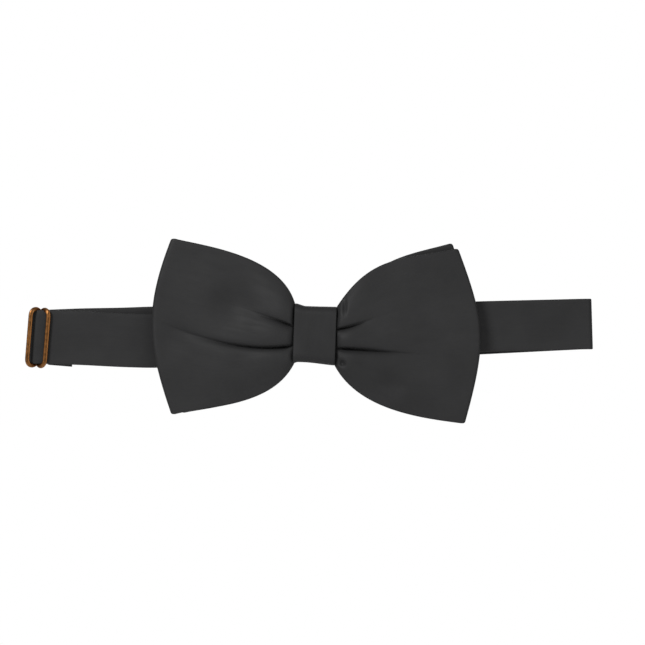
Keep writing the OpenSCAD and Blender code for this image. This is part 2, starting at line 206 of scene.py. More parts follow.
class BOWTIE_PG_stage(bpy.types.PropertyGroup):
    """The camera, the lights and the floor"""
    lens: FloatProperty(name="Lens", description="Focal length in millimetres", default=150.0)
    distance: length("Distance", "From the camera to the bow", 1.007, 0.3, 3.0)
    aim_x: length("Aim across", "Where the camera points, across", 2.9 * MM, -0.1, 0.1)
    aim_z: length("Aim up", "Where the camera points, upwards", 4.5 * MM, -0.1, 0.1)
    floor_z: length("Floor", "Height of the floor", -0.3, -1.0, 0.0)
    key: FloatProperty(name="Key light", description="Power of the key light", default=22.0,
                       unit="POWER")
    fill: FloatProperty(name="Fill light", description="Power of the fill light", default=9.0,
                        unit="POWER")
    ambient: FloatProperty(name="Ambient", description="Brightness of the surroundings",
                           default=0.33, min=0.0)


class BOWTIE_PG_settings(bpy.types.PropertyGroup):
    """All the bow tie's settings"""
    bows: PointerProperty(type=BOWTIE_PG_bows)
    knot: PointerProperty(type=BOWTIE_PG_knot)
    band: PointerProperty(type=BOWTIE_PG_band)
    fittings: PointerProperty(type=BOWTIE_PG_fittings)
    finishes: PointerProperty(type=BOWTIE_PG_finishes)
    stage: PointerProperty(type=BOWTIE_PG_stage)


# --- Curves and small formulas ---------------------------------------------------------------

def bezier(points, t):
    """A cubic curve through an array of parameters."""
    t = np.asarray(t, float)[..., None]
    p = np.asarray(points, float)
    return ((1 - t) ** 3 * p[0] + 3 * t * (1 - t) ** 2 * p[1] + 3 * t * t * (1 - t) * p[2]
            + t ** 3 * p[3])


def smooth(t):
    """Rises softly from 0 to 1 as its parameter does."""
    t = np.clip(t, 0.0, 1.0)
    return t * t * (3 - 2 * t)


def hill(distance, reach):
    """1 at no distance, fading softly to nought past its reach."""
    return np.exp(-(distance / reach) ** 2)


def mark_at(mark, x, z, wider=(1.0, 1.0)):
    """A soft round mark, 1 at its place and fading over its radii across and up."""
    return (hill(x - mark.place[0], mark.radius[0] * wider[0])
            * hill(z - mark.place[1], mark.radius[1] * wider[1]))


def uneven(points, size, seed):
    """Slow random unevenness at each point, from -1 to 1."""
    flat = points.reshape(-1, 3) / size
    shift = Vector((seed, 2.7 * seed, -1.3 * seed))
    values = [noise.noise(Vector(p) + shift) for p in flat]
    return np.array(values).reshape(points.shape[:-1])


def place_points(x, depth, z):
    """Points in the frame from arrays of across, depth and up."""
    x, depth, z = np.broadcast_arrays(x, depth, z)
    return np.stack([x, -depth, z], axis=-1)


def path_normals(path, closed=False):
    """Unit normals, on the left of the way along a flat path."""
    if closed:
        way = np.roll(path, -1, axis=0) - np.roll(path, 1, axis=0)
    else:
        way = np.gradient(path, axis=0)
    way = way / np.maximum(np.linalg.norm(way, axis=1, keepdims=True), TINY)
    return np.stack([-way[:, 1], way[:, 0]], axis=1)


def even(path, step):
    """The same path with points at even steps."""
    gaps = np.linalg.norm(np.diff(path, axis=0), axis=1)
    along = np.concatenate([[0.0], np.cumsum(gaps)])
    count = max(2, int(round(along[-1] / step)) + 1)
    at = np.linspace(0.0, along[-1], count)
    return np.stack([np.interp(at, along, path[:, k]) for k in range(path.shape[1])], axis=1)


# --- Meshes ----------------------------------------------------------------------------------

WELD = 0.0005 * MM


def surface_normals(points, wrap_u, wrap_v):
    """Unit normals of a grid of points, facing away from the space the grid goes round."""
    def way(axis, wrap):
        if wrap:
            core = points[:-1] if axis == 0 else points[:, :-1]
            step = np.roll(core, -1, axis=axis) - np.roll(core, 1, axis=axis)
            first = step[:1] if axis == 0 else step[:, :1]
            return np.concatenate([step, first], axis=axis)
        return np.gradient(points, axis=axis)
    normals = np.cross(way(0, wrap_u), way(1, wrap_v))
    out = (normals * (points - points.mean(axis=(0, 1)))).sum()
    lengths = np.linalg.norm(normals, axis=-1, keepdims=True)
    return normals / np.maximum(lengths, TINY ** 2) * (1 if out > 0 else -1)


def with_wall(points, wall, across):
    """Gives a grid a wall inwards, so that its section closes: across, the grid is closed
    along its stations and open along its rows; otherwise the other way round."""
    inner = points - wall * surface_normals(points, across, not across)
    if across:
        return np.concatenate([points, inner[:, ::-1], points[:, :1]], axis=1)
    return np.concatenate([points, inner[::-1], points[:1]], axis=0)


def cloth_grid(points):
    """A grid moved onto an array of points, with its closed sides welded and its UV map in
    metres along the cloth."""
    rows, columns = points.shape[0] - 1, points.shape[1] - 1
    along = np.linalg.norm(np.diff(points[:, columns // 2], axis=0), axis=1).sum()
    across = np.linalg.norm(np.diff(points[rows // 2], axis=0), axis=1).sum()
    bm = bmesh.new()
    layer = bm.loops.layers.uv.new("cloth")
    bmesh.ops.create_grid(bm, x_segments=rows, y_segments=columns, size=0.5, calc_uvs=True)
    for vert in bm.verts:
        i = int(round((vert.co.x + 0.5) * rows))
        j = int(round((vert.co.y + 0.5) * columns))
        vert.co = points[i, j]
    for face in bm.faces:
        face.smooth = True
        for loop in face.loops:
            u, v = loop[layer].uv
            loop[layer].uv = (u * along, v * across)
    bmesh.ops.remove_doubles(bm, verts=bm.verts, dist=WELD)
    ends = [edge for edge in bm.edges if edge.is_boundary]
    if ends:
        bmesh.ops.holes_fill(bm, edges=ends, sides=0)
    bmesh.ops.recalc_face_normals(bm, faces=bm.faces)
    return bm


def piece(name, bm, slot, body, replaces):
    """Makes an object from a bmesh, finished and riding on its body. A piece that spans two
    bodies is given none of its own."""
    mesh = bpy.data.meshes.new(name)
    bm.to_mesh(mesh)
    bm.free()
    mesh.materials.append(material_for(slot))
    obj = bpy.data.objects.new(name, mesh)
    bpy.context.scene.collection.objects.link(obj)
    if body:
        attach(obj, body)
    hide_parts(*replaces)
    return obj


def tube(path, radius, sides=8, closed=False):
    """A round bar along a path of points in the frame, with closed ends."""
    path = [Vector(p) for p in path]
    count = len(path)
    ways = []
    for i in range(count):
        before = path[i - 1] if i or closed else path[0]
        after = path[(i + 1) % count] if i < count - 1 or closed else path[-1]
        ways.append((after - before).normalized())
    side = ways[0].orthogonal().normalized()
    rings = []
    for point, way in zip(path, ways):
        side = (side - way * side.dot(way)).normalized()
        other = way.cross(side)
        ring = []
        for k in range(sides + 1):
            a = 2 * math.pi * k / sides
            ring.append(point + radius * (math.cos(a) * side + math.sin(a) * other))
        rings.append(ring)
    if closed:
        rings.append(rings[0])
    return cloth_grid(np.array(rings))


def join(parts):
    """One bmesh from several."""
    whole = bmesh.new()
    for part in parts:
        mesh = bpy.data.meshes.new("part")
        part.to_mesh(mesh)
        part.free()
        whole.from_mesh(mesh)
        bpy.data.meshes.remove(mesh)
    return whole


# --- Materials -------------------------------------------------------------------------------

# The colour sockets of a Mix node
MIX_ONE, MIX_TWO, MIX_OUT = 6, 7, 2


class Finish:
    """A material put together around its shader."""

    def __init__(self, name):
        self.material = bpy.data.materials.new(name)
        self.material.use_nodes = True
        self.nodes = self.material.node_tree.nodes
        self.links = self.material.node_tree.links
        self.nodes.clear()
        self.shader = self.nodes.new("ShaderNodeBsdfPrincipled")
        self.surface = self.nodes.new("ShaderNodeOutputMaterial").inputs["Surface"]
        self.links.new(self.shader.outputs["BSDF"], self.surface)

    def give(self, name, value):
        """Gives one of the shader's inputs a value, or joins it to an output."""
        self.feed(self.shader.inputs[name], value)

    def feed(self, socket, value):
        if isinstance(value, bpy.types.NodeSocket):
            self.links.new(value, socket)
        else:
            socket.default_value = value

    def where(self, source, scale=(1.0, 1.0, 1.0)):
        """A piece's own coordinates, scaled."""
        mapping = self.nodes.new("ShaderNodeMapping")
        mapping.inputs["Scale"].default_value = scale
        found = self.nodes.new("ShaderNodeTexCoord")
        self.links.new(found.outputs[source], mapping.inputs["Vector"])
        return mapping.outputs["Vector"]

    def noise(self, vector, scale=1.0, detail=3.0):
        node = self.nodes.new("ShaderNodeTexNoise")
        node.inputs["Scale"].default_value = scale
        node.inputs["Detail"].default_value = detail
        self.links.new(vector, node.inputs["Vector"])
        return node.outputs["Fac"]

    def threads(self, direction, pitch, distortion):
        """Even threads of a pitch, running across a direction of the cloth."""
        node = self.nodes.new("ShaderNodeTexWave")
        node.bands_direction = direction
        node.inputs["Scale"].default_value = 1.0 / (pitch * 2 * math.pi)
        node.inputs["Distortion"].default_value = distortion
        self.links.new(self.where("UV"), node.inputs["Vector"])
        return node

    def span(self, value, low, high, to_low, to_high):
        """Maps one range of values onto another."""
        node = self.nodes.new("ShaderNodeMapRange")
        for socket, number in zip(node.inputs[1:5], (low, high, to_low, to_high)):
            socket.default_value = number
        self.links.new(value, node.inputs[0])
        return node.outputs[0]

    def mix(self, factor, one, two, blend="MIX"):
        node = self.nodes.new("ShaderNodeMix")
        node.data_type = "RGBA"
        node.blend_type = blend
        self.feed(node.inputs["Factor"], factor)
        self.feed(node.inputs[MIX_ONE], one)
        self.feed(node.inputs[MIX_TWO], two)
        return node.outputs[MIX_OUT]

    def bump(self, height, strength, distance, before=None):
        """A relief, laid over another one if there is one before it."""
        node = self.nodes.new("ShaderNodeBump")
        node.inputs["Strength"].default_value = strength
        node.inputs["Distance"].default_value = distance
        self.links.new(height, node.inputs["Height"])
        if before is not None:
            self.links.new(before, node.inputs["Normal"])
        return node.outputs["Normal"]


def shade(tone, factor):
    """A colour made darker or paler."""
    return (*(c * factor for c in tone[:3]), 1.0)


def satin_finish(finish, tone, weave):
    """Satin: long fine floats along the cloth, a soft uneven gloss and faint slubs."""
    floats = finish.noise(finish.where("UV", (0.12 / weave, 1.0 / weave, 1.0)), detail=2.0)
    ribs = finish.threads("Y", weave, 0.6)
    ribs.inputs["Detail"].default_value = 1.0
    slubs = finish.noise(finish.where("UV", (90.0, 900.0, 1.0)))
    clouds = finish.noise(finish.where("Object"), 55.0)
    base = finish.mix(finish.span(clouds, 0.3, 0.7, 0.0, 1.0), shade(tone, 0.86),
                      shade(tone, 1.14))
    grain = finish.mix(floats, (0.92, 0.92, 0.92, 1.0), (1.07, 1.07, 1.07, 1.0))
    finish.give("Base Color", finish.mix(1.0, base, grain, "MULTIPLY"))
    finish.give("Roughness", finish.span(slubs, 0.3, 0.7, 0.55, 0.67))
    finish.give("Specular IOR Level", 0.15)
    relief = finish.bump(ribs.outputs["Fac"], 0.10, weave * 0.3)
    relief = finish.bump(floats, 0.08, weave * 0.5, relief)
    finish.give("Normal", finish.bump(slubs, 0.05, 0.05 * MM, relief))


def woven_finish(finish, tone, pitch, roughness, relief):
    """A plain weave: crossed threads with the colour varying from thread to thread."""
    crossed = finish.nodes.new("ShaderNodeMath")
    crossed.operation = "MULTIPLY"
    for socket, direction in zip(crossed.inputs, ("X", "Y")):
        finish.links.new(finish.threads(direction, pitch, 0.8).outputs["Fac"], socket)
    fuzz = finish.noise(finish.where("Object"), 900.0)
    finish.give("Base Color", finish.mix(crossed.outputs[0], shade(tone, 0.7), shade(tone, 1.1)))
    finish.give("Roughness", finish.span(fuzz, 0.2, 0.8, roughness - 0.08, roughness + 0.08))
    finish.give("Specular IOR Level", 0.15)
    finish.give("Normal", finish.bump(crossed.outputs[0], relief, pitch * 0.4))


def wadding_finish(finish, tone):
    """Wadding: matted fine fibres."""
    fibres = finish.noise(finish.where("Object", (1.0, 3.0, 1.0)), 2200.0, 6.0)
    tufts = finish.noise(finish.where("Object"), 420.0)
    finish.give("Base Color", finish.mix(fibres, shade(tone, 0.75), shade(tone, 1.1)))
    finish.give("Roughness", finish.span(fibres, 0.2, 0.8, 0.85, 1.0))
    finish.give("Specular IOR Level", 0.1)
    finish.give("Normal", finish.bump(fibres, 0.6, 0.08 * MM, finish.bump(tufts, 0.5, 0.3 * MM)))


def thread_finish(finish, tone):
    """Sewing thread: strands twisted round each other."""
    twist = finish.threads("DIAGONAL", 0.35 * MM, 0.4).outputs["Fac"]
    finish.give("Base Color", finish.mix(twist, shade(tone, 0.5), shade(tone, 1.8)))
    finish.give("Roughness", finish.span(twist, 0.0, 1.0, 0.62, 0.42))
    finish.give("Specular IOR Level", 0.35)
    finish.give("Normal", finish.bump(twist, 0.6, 0.06 * MM))


def bronze_finish(finish, tone):
    """Antique bronze plating in random darker and paler patches, with paler colour along its
    edges: a painted highlight, and rubbed plating.
    """
    patches = finish.noise(finish.where("Object"), 700.0, 5.0)
    scratches = finish.noise(finish.where("Object", (6000.0, 6000.0, 350.0)), detail=2.0)
    pointed = finish.nodes.new("ShaderNodeNewGeometry").outputs["Pointiness"]
    edges = finish.span(pointed, 0.49, 0.58, 0.0, 1.0)
    base = finish.mix(finish.span(patches, 0.35, 0.7, 0.0, 1.0), shade(tone, 0.55),
                      shade(tone, 1.3))
    # Convex edges, found by pointiness, are painted much paler: a painted highlight as well as
    # rubbed plating.
    finish.give("Base Color", finish.mix(edges, base, shade(tone, 2.6)))
    finish.give("Metallic", 1.0)
    finish.give("Roughness", finish.span(patches, 0.3, 0.7, 0.28, 0.5))
    relief = finish.bump(scratches, 0.12, 0.02 * MM)
    finish.give("Normal", finish.bump(patches, 0.25, 0.05 * MM, relief))


def material_for(slot):
    """The finish of one of the record's slots, made once."""
    name = f"bow_tie_{slot}"
    found = bpy.data.materials.get(name)
    if found:
        return found
    s = bpy.context.scene.bow_tie.finishes
    finish = Finish(name)
    if slot == "satin":
        satin_finish(finish, s.satin, s.weave)
    elif slot == "lining":
        woven_finish(finish, s.lining, 0.3 * MM, 0.7, 0.3)
    elif slot == "canvas":
        woven_finish(finish, s.canvas, 0.5 * MM, 0.85, 0.6)
    elif slot == "wadding":
        wadding_finish(finish, s.wadding)
    elif slot == "thread":
        thread_finish(finish, s.thread)
    elif slot == "bronze":
        bronze_finish(finish, s.bronze)
    else:
        raise RuntimeError(f"no finish is made for the slot {slot}")
    return finish.material


# --- The bows --------------------------------------------------------------------------------

# A crease's first three points, the share of the wing's end, from the top, where its line runs
# out, how far along the wing it can be seen, and its depth as a share of the setting
Crease = namedtuple("Crease", "line share reach depth")
# A soft mark on a wing: its place and radii, across and up, and how far it stands forward
Mark = namedtuple("Mark", "place radius height")
# A row of a bow's cloth: the strip it lies in, its share across the strip or how far it stands
# in from the strip's outer edge, and its depth behind the face as a share of the thickness
Row = namedtuple("Row", "strip share inward behind")


class Wing:
    """One wing's shape, in shares of the bow's reach from the knot: its top and bottom edges,
    its end from top to bottom, and its creases from the bottom up."""

    def __init__(self, side, top, bottom, end, creases=(), marks=()):
        self.side = side
        self.creases = creases
        self.marks = marks
        self.end = REACH * np.array(end)
        lines = [bottom]
        for crease in creases:
            lines.append([*crease.line, tuple(bezier(end, crease.share))])
        lines.append(top)
        self.lines = [REACH * np.array(points) for points in lines]
        self.shares = [1.0, *(crease.share for crease in creases), 0.0]
        self.strips = len(lines) - 1

    def up(self, index, s):
        """Height of a line at each station of a column."""
        return bezier(self.lines[index], s[:, 0])[:, 1][:, None]

    def height(self, strip, s):
        """Height of a strip between two lines at each station."""
        return (bezier(self.lines[strip + 1], s) - bezier(self.lines[strip], s))[:, 1]

    def place(self, strip, across, s):
        """Points of one row, at a share across a strip, for each station."""
        low, high = bezier(self.lines[strip], s), bezier(self.lines[strip + 1], s)
        ruled = low + (high - low) * across[:, None]
        share = self.shares[strip] + (self.shares[strip + 1] - self.shares[strip]) * across
        first, last = self.lines[strip][3], self.lines[strip + 1][3]
        chord = first + (last - first) * across[:, None]
        return ruled + (s ** 3)[:, None] * (bezier(self.end, share) - chord)


FRONT_LEFT = Wing(
    -1,
    top=((0.113, 0.158), (0.172, 0.475), (0.643, 0.540), (0.878, 0.586)),
    bottom=((0.115, -0.155), (0.238, -0.441), (0.635, -0.437), (0.878, -0.489)),
    end=((0.878, 0.586), (1.050, 0.151), (1.024, -0.062), (0.878, -0.487)),
    creases=[Crease(((0.124, -0.065), (0.423, -0.111), (0.668, -0.033)), 0.455, 1.15, 1.0),
             Crease(((0.124, 0.046), (0.309, 0.130), (0.619, 0.195)), 0.22, 0.40, 0.9)],
    marks=[Mark((30 * MM, 11 * MM), (8 * MM, 8 * MM), -2.4 * MM),
           Mark((56 * MM, -2 * MM), (9 * MM, 6 * MM), -1.6 * MM),
           Mark((30 * MM, -17 * MM), (9 * MM, 6 * MM), 0.5 * MM)])
FRONT_RIGHT = Wing(
    1,
    top=((0.122, 0.150), (0.335, 0.490), (0.523, 0.457), (0.878, 0.523)),
    bottom=((0.112, -0.172), (0.248, -0.455), (0.629, -0.513), (0.918, -0.543)),
    end=((0.878, 0.523), (1.049, 0.067), (1.055, -0.049), (0.918, -0.543)),
    creases=[Crease(((0.124, -0.083), (0.391, -0.088), (0.619, -0.134)), 0.66, 0.74, 1.0),
             Crease(((0.124, 0.033), (0.277, 0.042), (0.537, 0.195)), 0.24, 0.44, 1.0)],
    marks=[Mark((29 * MM, -19.5 * MM), (5.5 * MM, 5 * MM), -1.9 * MM),
           Mark((58 * MM, 1 * MM), (9 * MM, 8 * MM), -1.0 * MM),
           Mark((11.2 * MM, 10.4 * MM), (0.6 * MM, 2.4 * MM), -1.7 * MM),
           Mark((10.2 * MM, -10.6 * MM), (1.0 * MM, 1.1 * MM), -1.8 * MM)])
BACK_LEFT = Wing(
    -1,
    top=((0.124, 0.140), (0.200, 0.430), (0.620, 0.510), (0.845, 0.560)),
    bottom=((0.124, -0.130), (0.257, -0.425), (0.612, -0.445), (0.818, -0.480)),
    end=((0.845, 0.560), (1.000, 0.151), (0.985, -0.062), (0.818, -0.480)))
BACK_RIGHT = Wing(
    1,
    top=((0.124, 0.130), (0.360, 0.464), (0.523, 0.482), (0.845, 0.547)),
    bottom=((0.124, -0.140), (0.275, -0.420), (0.605, -0.480), (0.865, -0.512)),
    end=((0.845, 0.557), (1.010, 0.067), (1.010, -0.049), (0.865, -0.505)))


class Bow:
    """A looped band of cloth: its two wings, and the depths of its layers."""

    def __init__(self, left, right, node, waist_front, fold_r, puffed):
        self.wings = {-1: left, 1: right}
        self.strips = left.strips
        self.fold_r = fold_r
        self.waist_front = waist_front
        self.mid = depths(node)[0] + fold_r
        self.puffed = puffed


FRONT_BOW = Bow(FRONT_LEFT, FRONT_RIGHT, "front_bow_satin",
                depths("waist_binding")[1] - 0.5 * MM, 1.5 * MM, True)
BACK_BOW = Bow(BACK_LEFT, BACK_RIGHT, "back_bow_satin",
               depths("back_bow_satin")[0] + 2.4 * MM, 1.2 * MM, False)

# Steps of the mesh round a bow's folds and waist, and across its hems and their turned edges
FOLD_STEPS = 8
WAIST_STEPS = 6
HEM_STEPS = 5
EDGE_STEPS = 6
# The face's outermost rows lie this far in from its outline
EDGE_MARGIN = 0.55 * MM
# Shares of a wing's length over which its shapes rise or fade
ROOT_RISE = 0.07
CREASE_RISE = 0.10
SHOULDER_REACH = 0.3
LOBE_REACH = 0.42
WAIST_REACH = 0.5
# How much of the shoulder is left out at the wing's top and bottom edges
SHOULDER_FALL = 0.5
# Marks narrower than this are creases too, and the cloths behind draw back from them
SMALL_MARK = 2 * MM
BACK_PUFF = 0.5 * MM
WAIST_MIDDLE_Z = 0.1 * MM


def wing_relief(wing, s, x, z, strips, settings):
    """How far a front wing's face stands forward of a flat one: the puff, the shoulder beside
    the knot, the rounded lobes between the creases, the creases, and a few soft marks."""
    top, bottom = wing.up(-1, s), wing.up(0, s)
    level = (2 * z - top - bottom) / (top - bottom)
    relief = settings.puff * np.sin(math.pi * s ** 0.62) * (1 - 0.55 * level ** 2)
    relief = relief + (settings.shoulder * hill(s, SHOULDER_REACH)
                       * (1 - SHOULDER_FALL * level ** 2))
    lobe = settings.lobe * hill(s, LOBE_REACH) * smooth(s / ROOT_RISE)
    for strip in range(wing.strips):
        low, high = wing.up(strip, s), wing.up(strip + 1, s)
        share = np.clip((z - low) / (high - low), 0.0, 1.0)
        rounded = np.sin(math.pi * (0.06 + 0.88 * share)) ** 0.75
        relief = relief + np.where(strips == strip, lobe * rounded, 0.0)
    for index, crease in enumerate(wing.creases):
        relief = relief - crease_depth(crease, s, z - wing.up(index + 1, s), settings)
    for mark in wing.marks:
        relief = relief + mark.height * mark_at(mark, np.abs(x), z)
    return relief * (1 - s ** 5)


def crease_depth(crease, s, above, settings):
    """How far a crease draws the face back at a height above its line. It is sharp on its
    upper side, and the pleat's lower side lies back under the upper one."""
    fade = 1 - smooth(s / crease.reach)
    wide = np.where(above > 0, 0.8, 1.5) * (0.34 * MM + 0.9 * MM * s)
    dig = 0.35 + 0.65 * smooth(s / CREASE_RISE)
    groove = settings.crease * dig * np.exp(-np.abs(above) / wide)
    under = np.where(above < TINY, np.exp(above / (4.5 * MM)), 0.0)
    return crease.depth * fade * (groove + settings.overlap * smooth(s / ROOT_RISE) * under)


def crease_clearance(wing, s, x, z):
    """How far the cloths behind the face draw back from its creases."""
    clear = 0.6 * MM * hill(s, 0.06) * np.ones_like(z)
    for mark in wing.marks:
        if mark.radius[0] < SMALL_MARK:
            clear = clear - 0.9 * mark.height * mark_at(mark, x, z, (1.8, 1.4))
    for index, crease in enumerate(wing.creases):
        fade = 1 - smooth(s / crease.reach)
        near = hill(z - wing.up(index + 1, s), 2.0 * MM)
        clear = np.maximum(clear, 1.5 * MM * crease.depth * fade * near)
    return clear


def hemmed_bow_rows(bow, count, edge, hem):
    """The rows across a bow's satin, from its bottom hem to its top hem."""
    turned_in = [(edge + hem * k / HEM_STEPS, 1.0) for k in range(HEM_STEPS, 0, -1)]
    for k in range(EDGE_STEPS, 0, -1):
        a = math.pi * k / EDGE_STEPS
        turned_in.append((edge * (1 - math.sin(a)), (1 - math.cos(a)) / 2))
    steps = count // bow.strips
    rows = [Row(0, None, *row) for row in turned_in]
    for strip in range(bow.strips):
        for k in range(steps + (strip == bow.strips - 1)):
            rows.append(Row(strip, k / steps, None, 0.0))
    return rows + [Row(bow.strips - 1, None, *row) for row in reversed(turned_in)]


def plain_rows(bow, count, inset):
    """Rows of a flat cloth set in from the bow's long edges."""
    steps = count // bow.strips
    rows = [Row(0, None, inset, 0.0)]
    for strip in range(bow.strips):
        for k in range(steps):
            if (strip, k) != (0, 0):
                rows.append(Row(strip, k / steps, None, 0.0))
    rows.append(Row(bow.strips - 1, None, inset, 0.0))
    return rows


def row_grid(wing, rows, s):
    """Across and up of every row at every station."""
    x = np.empty((len(s), len(rows)))
    z = np.empty((len(s), len(rows)))
    for j, row in enumerate(rows):
        tall = np.maximum(np.abs(wing.height(row.strip, s)), 1 * MM)
        if row.share is None:
            step = np.minimum(row.inward / tall, 0.7)
            across = step if j < len(rows) / 2 else 1 - step
        else:
            margin = EDGE_MARGIN / tall
            low = margin * (row.strip == 0)
            high = 1 - margin * (row.strip == wing.strips - 1)
            across = low + (high - low) * row.share
        flat = wing.place(row.strip, across, s)
        x[:, j], z[:, j] = flat[:, 0], flat[:, 1]
    return x, z


def drop_doubles(points):
    """Leaves out a station that repeats the one before it."""
    keep = [0]
    for i in range(1, len(points)):
        if np.abs(points[i] - points[keep[-1]]).max() > 0.01 * MM:
            keep.append(i)
    return points[keep]


class BowCloth:
    """One cloth of a bow: its rows, how far it lies behind the face, and the thickness that
    its hems take up."""

    def __init__(self, bow, settings, rows, offset, thickness):
        self.bow = bow
        self.settings = settings
        self.rows = rows
        self.covered = offset > 0
        self.strips = np.array([row.strip for row in rows])[None, :]
        self.behind = offset + thickness * np.array([row.behind for row in rows])[None, :]

    def mesh(self, wall):
        """The cloth once round the bow's loop, station by row. Under the knot it doubles back
        on itself at both roots."""
        s = np.linspace(0.0, 1.0, self.settings.stations) ** 1.25
        angles = np.linspace(math.pi, 0.0, FOLD_STEPS + 1)[1:-1]
        stretches = []
        for side, front in ((1, False), (-1, True)):
            wing = self.bow.wings[side]
            stretches.append(self.waist(wing, front))
            stretches.append(self.ply(wing, s, front))
            stretches.append(self.fold(wing, angles[::-1] if front else angles))
            stretches.append(self.ply(wing, s, not front)[::-1])
            stretches.append(self.waist(wing, not front)[::-1])
        stretches.append(stretches[0][:1])
        return cloth_grid(with_wall(drop_doubles(np.concatenate(stretches)), wall, True))

    def ply(self, wing, s, front):
        """A wing's front or back layer, from its root to its end."""
        bow = self.bow
        x, z = row_grid(wing, self.rows, s)
        s = s[:, None]
        x = x - bow.fold_r * s ** 8
        if not front:
            return place_points(wing.side * x, bow.mid - bow.fold_r + self.behind, z)
        level = bow.mid + bow.fold_r
        depth = level + (bow.waist_front - level) * smooth(1 - s / WAIST_REACH)
        if bow.puffed:
            depth = depth + wing_relief(wing, s, x, z, self.strips, self.settings)
            ripple = uneven(place_points(wing.side * x, depth, z), 13 * MM, 3.0 + wing.side)
            depth = depth + self.settings.ripple * ripple * np.sin(math.pi * s)
            if self.covered:
                depth = depth - crease_clearance(wing, s, x, z)
        else:
            depth = depth + BACK_PUFF * np.sin(math.pi * s)
        return place_points(wing.side * x, depth - self.behind, z)

    def fold(self, wing, angles):
        """The fold at a wing's end, from one layer to the other."""
        bow = self.bow
        x, z = row_grid(wing, self.rows, np.array([1.0]))
        radius = bow.fold_r - self.behind
        angles = angles[:, None]
        x = x - bow.fold_r + radius * np.sin(angles)
        return place_points(wing.side * x, bow.mid + radius * np.cos(angles), z)

    def waist(self, wing, front):
        """Half the gathered stretch under the knot, from beside the root to the middle."""
        bow = self.bow
        x, z = row_grid(wing, self.rows, np.array([0.0]))
        share = np.linspace(0.0, 1.0, WAIST_STEPS + 1)[1:][:, None]
        depth = bow.mid - bow.fold_r + self.behind
        if front:
            depth = bow.waist_front - self.behind
        if front and bow.puffed:
            level = z / np.abs(z).max()
            shoulder = self.settings.shoulder * (1 - SHOULDER_FALL * level ** 2)
            depth = depth + shoulder * (1 - smooth(share / 0.6))
        gathered = WAIST_MIDDLE_Z + (z - WAIST_MIDDLE_Z) * (1 - 0.08 * smooth(share))
        return place_points(wing.side * x * (1 - share), depth, gathered)


class BOWTIE_OT_bow(bpy.types.Operator):
    """Make one of the two looped bows, with the cloths inside it"""
    bl_idname = "bow_tie.bow"
    bl_label = "Bow"
    which: IntProperty(name="Which", description="0 for the front bow, 1 for the back bow",
                       default=0, min=0, max=1)

    def execute(self, context):
        s = context.scene.bow_tie.bows
        bow = (FRONT_BOW, BACK_BOW)[self.which]
        name = ("front", "back")[self.which]
        rows = hemmed_bow_rows(bow, s.rows, s.thickness / 2, s.hem)
        mesh = BowCloth(bow, s, rows, 0.0, s.thickness).mesh(s.ply)
        satin = piece(f"{name}_bow_cloth", mesh, "satin", "bow", [f"{name}_bow_satin"])
        rows = plain_rows(bow, s.rows // 2, 1.4 * MM)
        mesh = BowCloth(bow, s, rows, 0.4 * MM, 0.0).mesh(0.22 * MM)
        core = piece(f"{name}_bow_canvas", mesh, "canvas", "bow", [f"{name}_bow_interlining"])
        if bow is FRONT_BOW:
            rows = plain_rows(bow, s.rows // 2, 3.6 * MM)
            mesh = BowCloth(bow, s, rows, s.thickness + 0.03 * MM, 0.0).mesh(0.16 * MM)
            lining = piece("front_bow_facing", mesh, "lining", "bow", ["front_bow_lining"])
        return {"FINISHED"}


# --- The knot --------------------------------------------------------------------------------

# Shares of the knot's half height at which its top and bottom edges run, where they are plain
PLAIN_TOP = 0.925
PLAIN_BOTTOM = 0.94
# Depths between which the wrap's back goes over into its front
KNOT_SIDE_D = 9 * MM
KNOT_SIDE_DEEP = 6 * MM
KNOT_CANVAS_INSET = 2.2 * MM
# The padding is modelled larger, because a cloth simulation works best on a large piece
PAD_SCALE = 20.0
PAD_CAP = 0.9 * MM * PAD_SCALE
SWELL_FRAMES = 20


def rounded_path(back, front, half_h, back_r, front_r, step):
    """A closed path of depth and height round a rounded rectangle, from the back's middle."""
    corners = [(front - front_r, half_h - front_r, front_r, 90.0, 0.0),
               (front - front_r, -half_h + front_r, front_r, 0.0, -90.0),
               (back + back_r, -half_h + back_r, back_r, -90.0, -180.0),
               (back + back_r, half_h - back_r, back_r, 180.0, 90.0)]
    path = []
    for x, y, r, start, stop in corners:
        for a in np.radians(np.linspace(start, stop, 13)):
            path.append((x + r * math.cos(a), y + r * math.sin(a)))
    path.append(path[0])
    return even(np.array(path), step)


def ring_points(path, across, depth_in):
    """Across, depth and height of a ring: its path moved inwards by each row's depth."""
    normals = -path_normals(path[:-1], closed=True)
    normals = np.concatenate([normals, normals[:1]])
    flat = path[:, None, :] + normals[:, None, :] * depth_in[None, :, None]
    return np.broadcast_to(across[None, :], flat.shape[:2]), flat[..., 0], flat[..., 1]


def turned(points, angle, x, z):
    """The same points turned about a place across and up, seen from the front."""
    turn = np.array(Matrix.Rotation(angle, 3, "Y"))
    centre = np.array((x, 0.0, z))
    return (points - centre) @ turn.T + centre


def hemmed_rows(half, edge, hem, steps):
    """Across and depth of the rows of a cloth whose two side edges turn under."""
    across, inward = [], []
    radius = edge / 2
    for k in range(4, 0, -1):
        across.append(half - radius - hem * k / 4)
        inward.append(edge)
    for a in np.linspace(math.pi, 0.0, 9)[:-1]:
        across.append(half - radius + radius * math.sin(a))
        inward.append(radius * (1 - math.cos(a)))
    plain = np.linspace(half - radius, -half + radius, steps + 1)
    back = [-a for a in reversed(across)]
    return (np.array(across + list(plain) + back),
            np.array(inward + [0.0] * len(plain) + list(reversed(inward))))


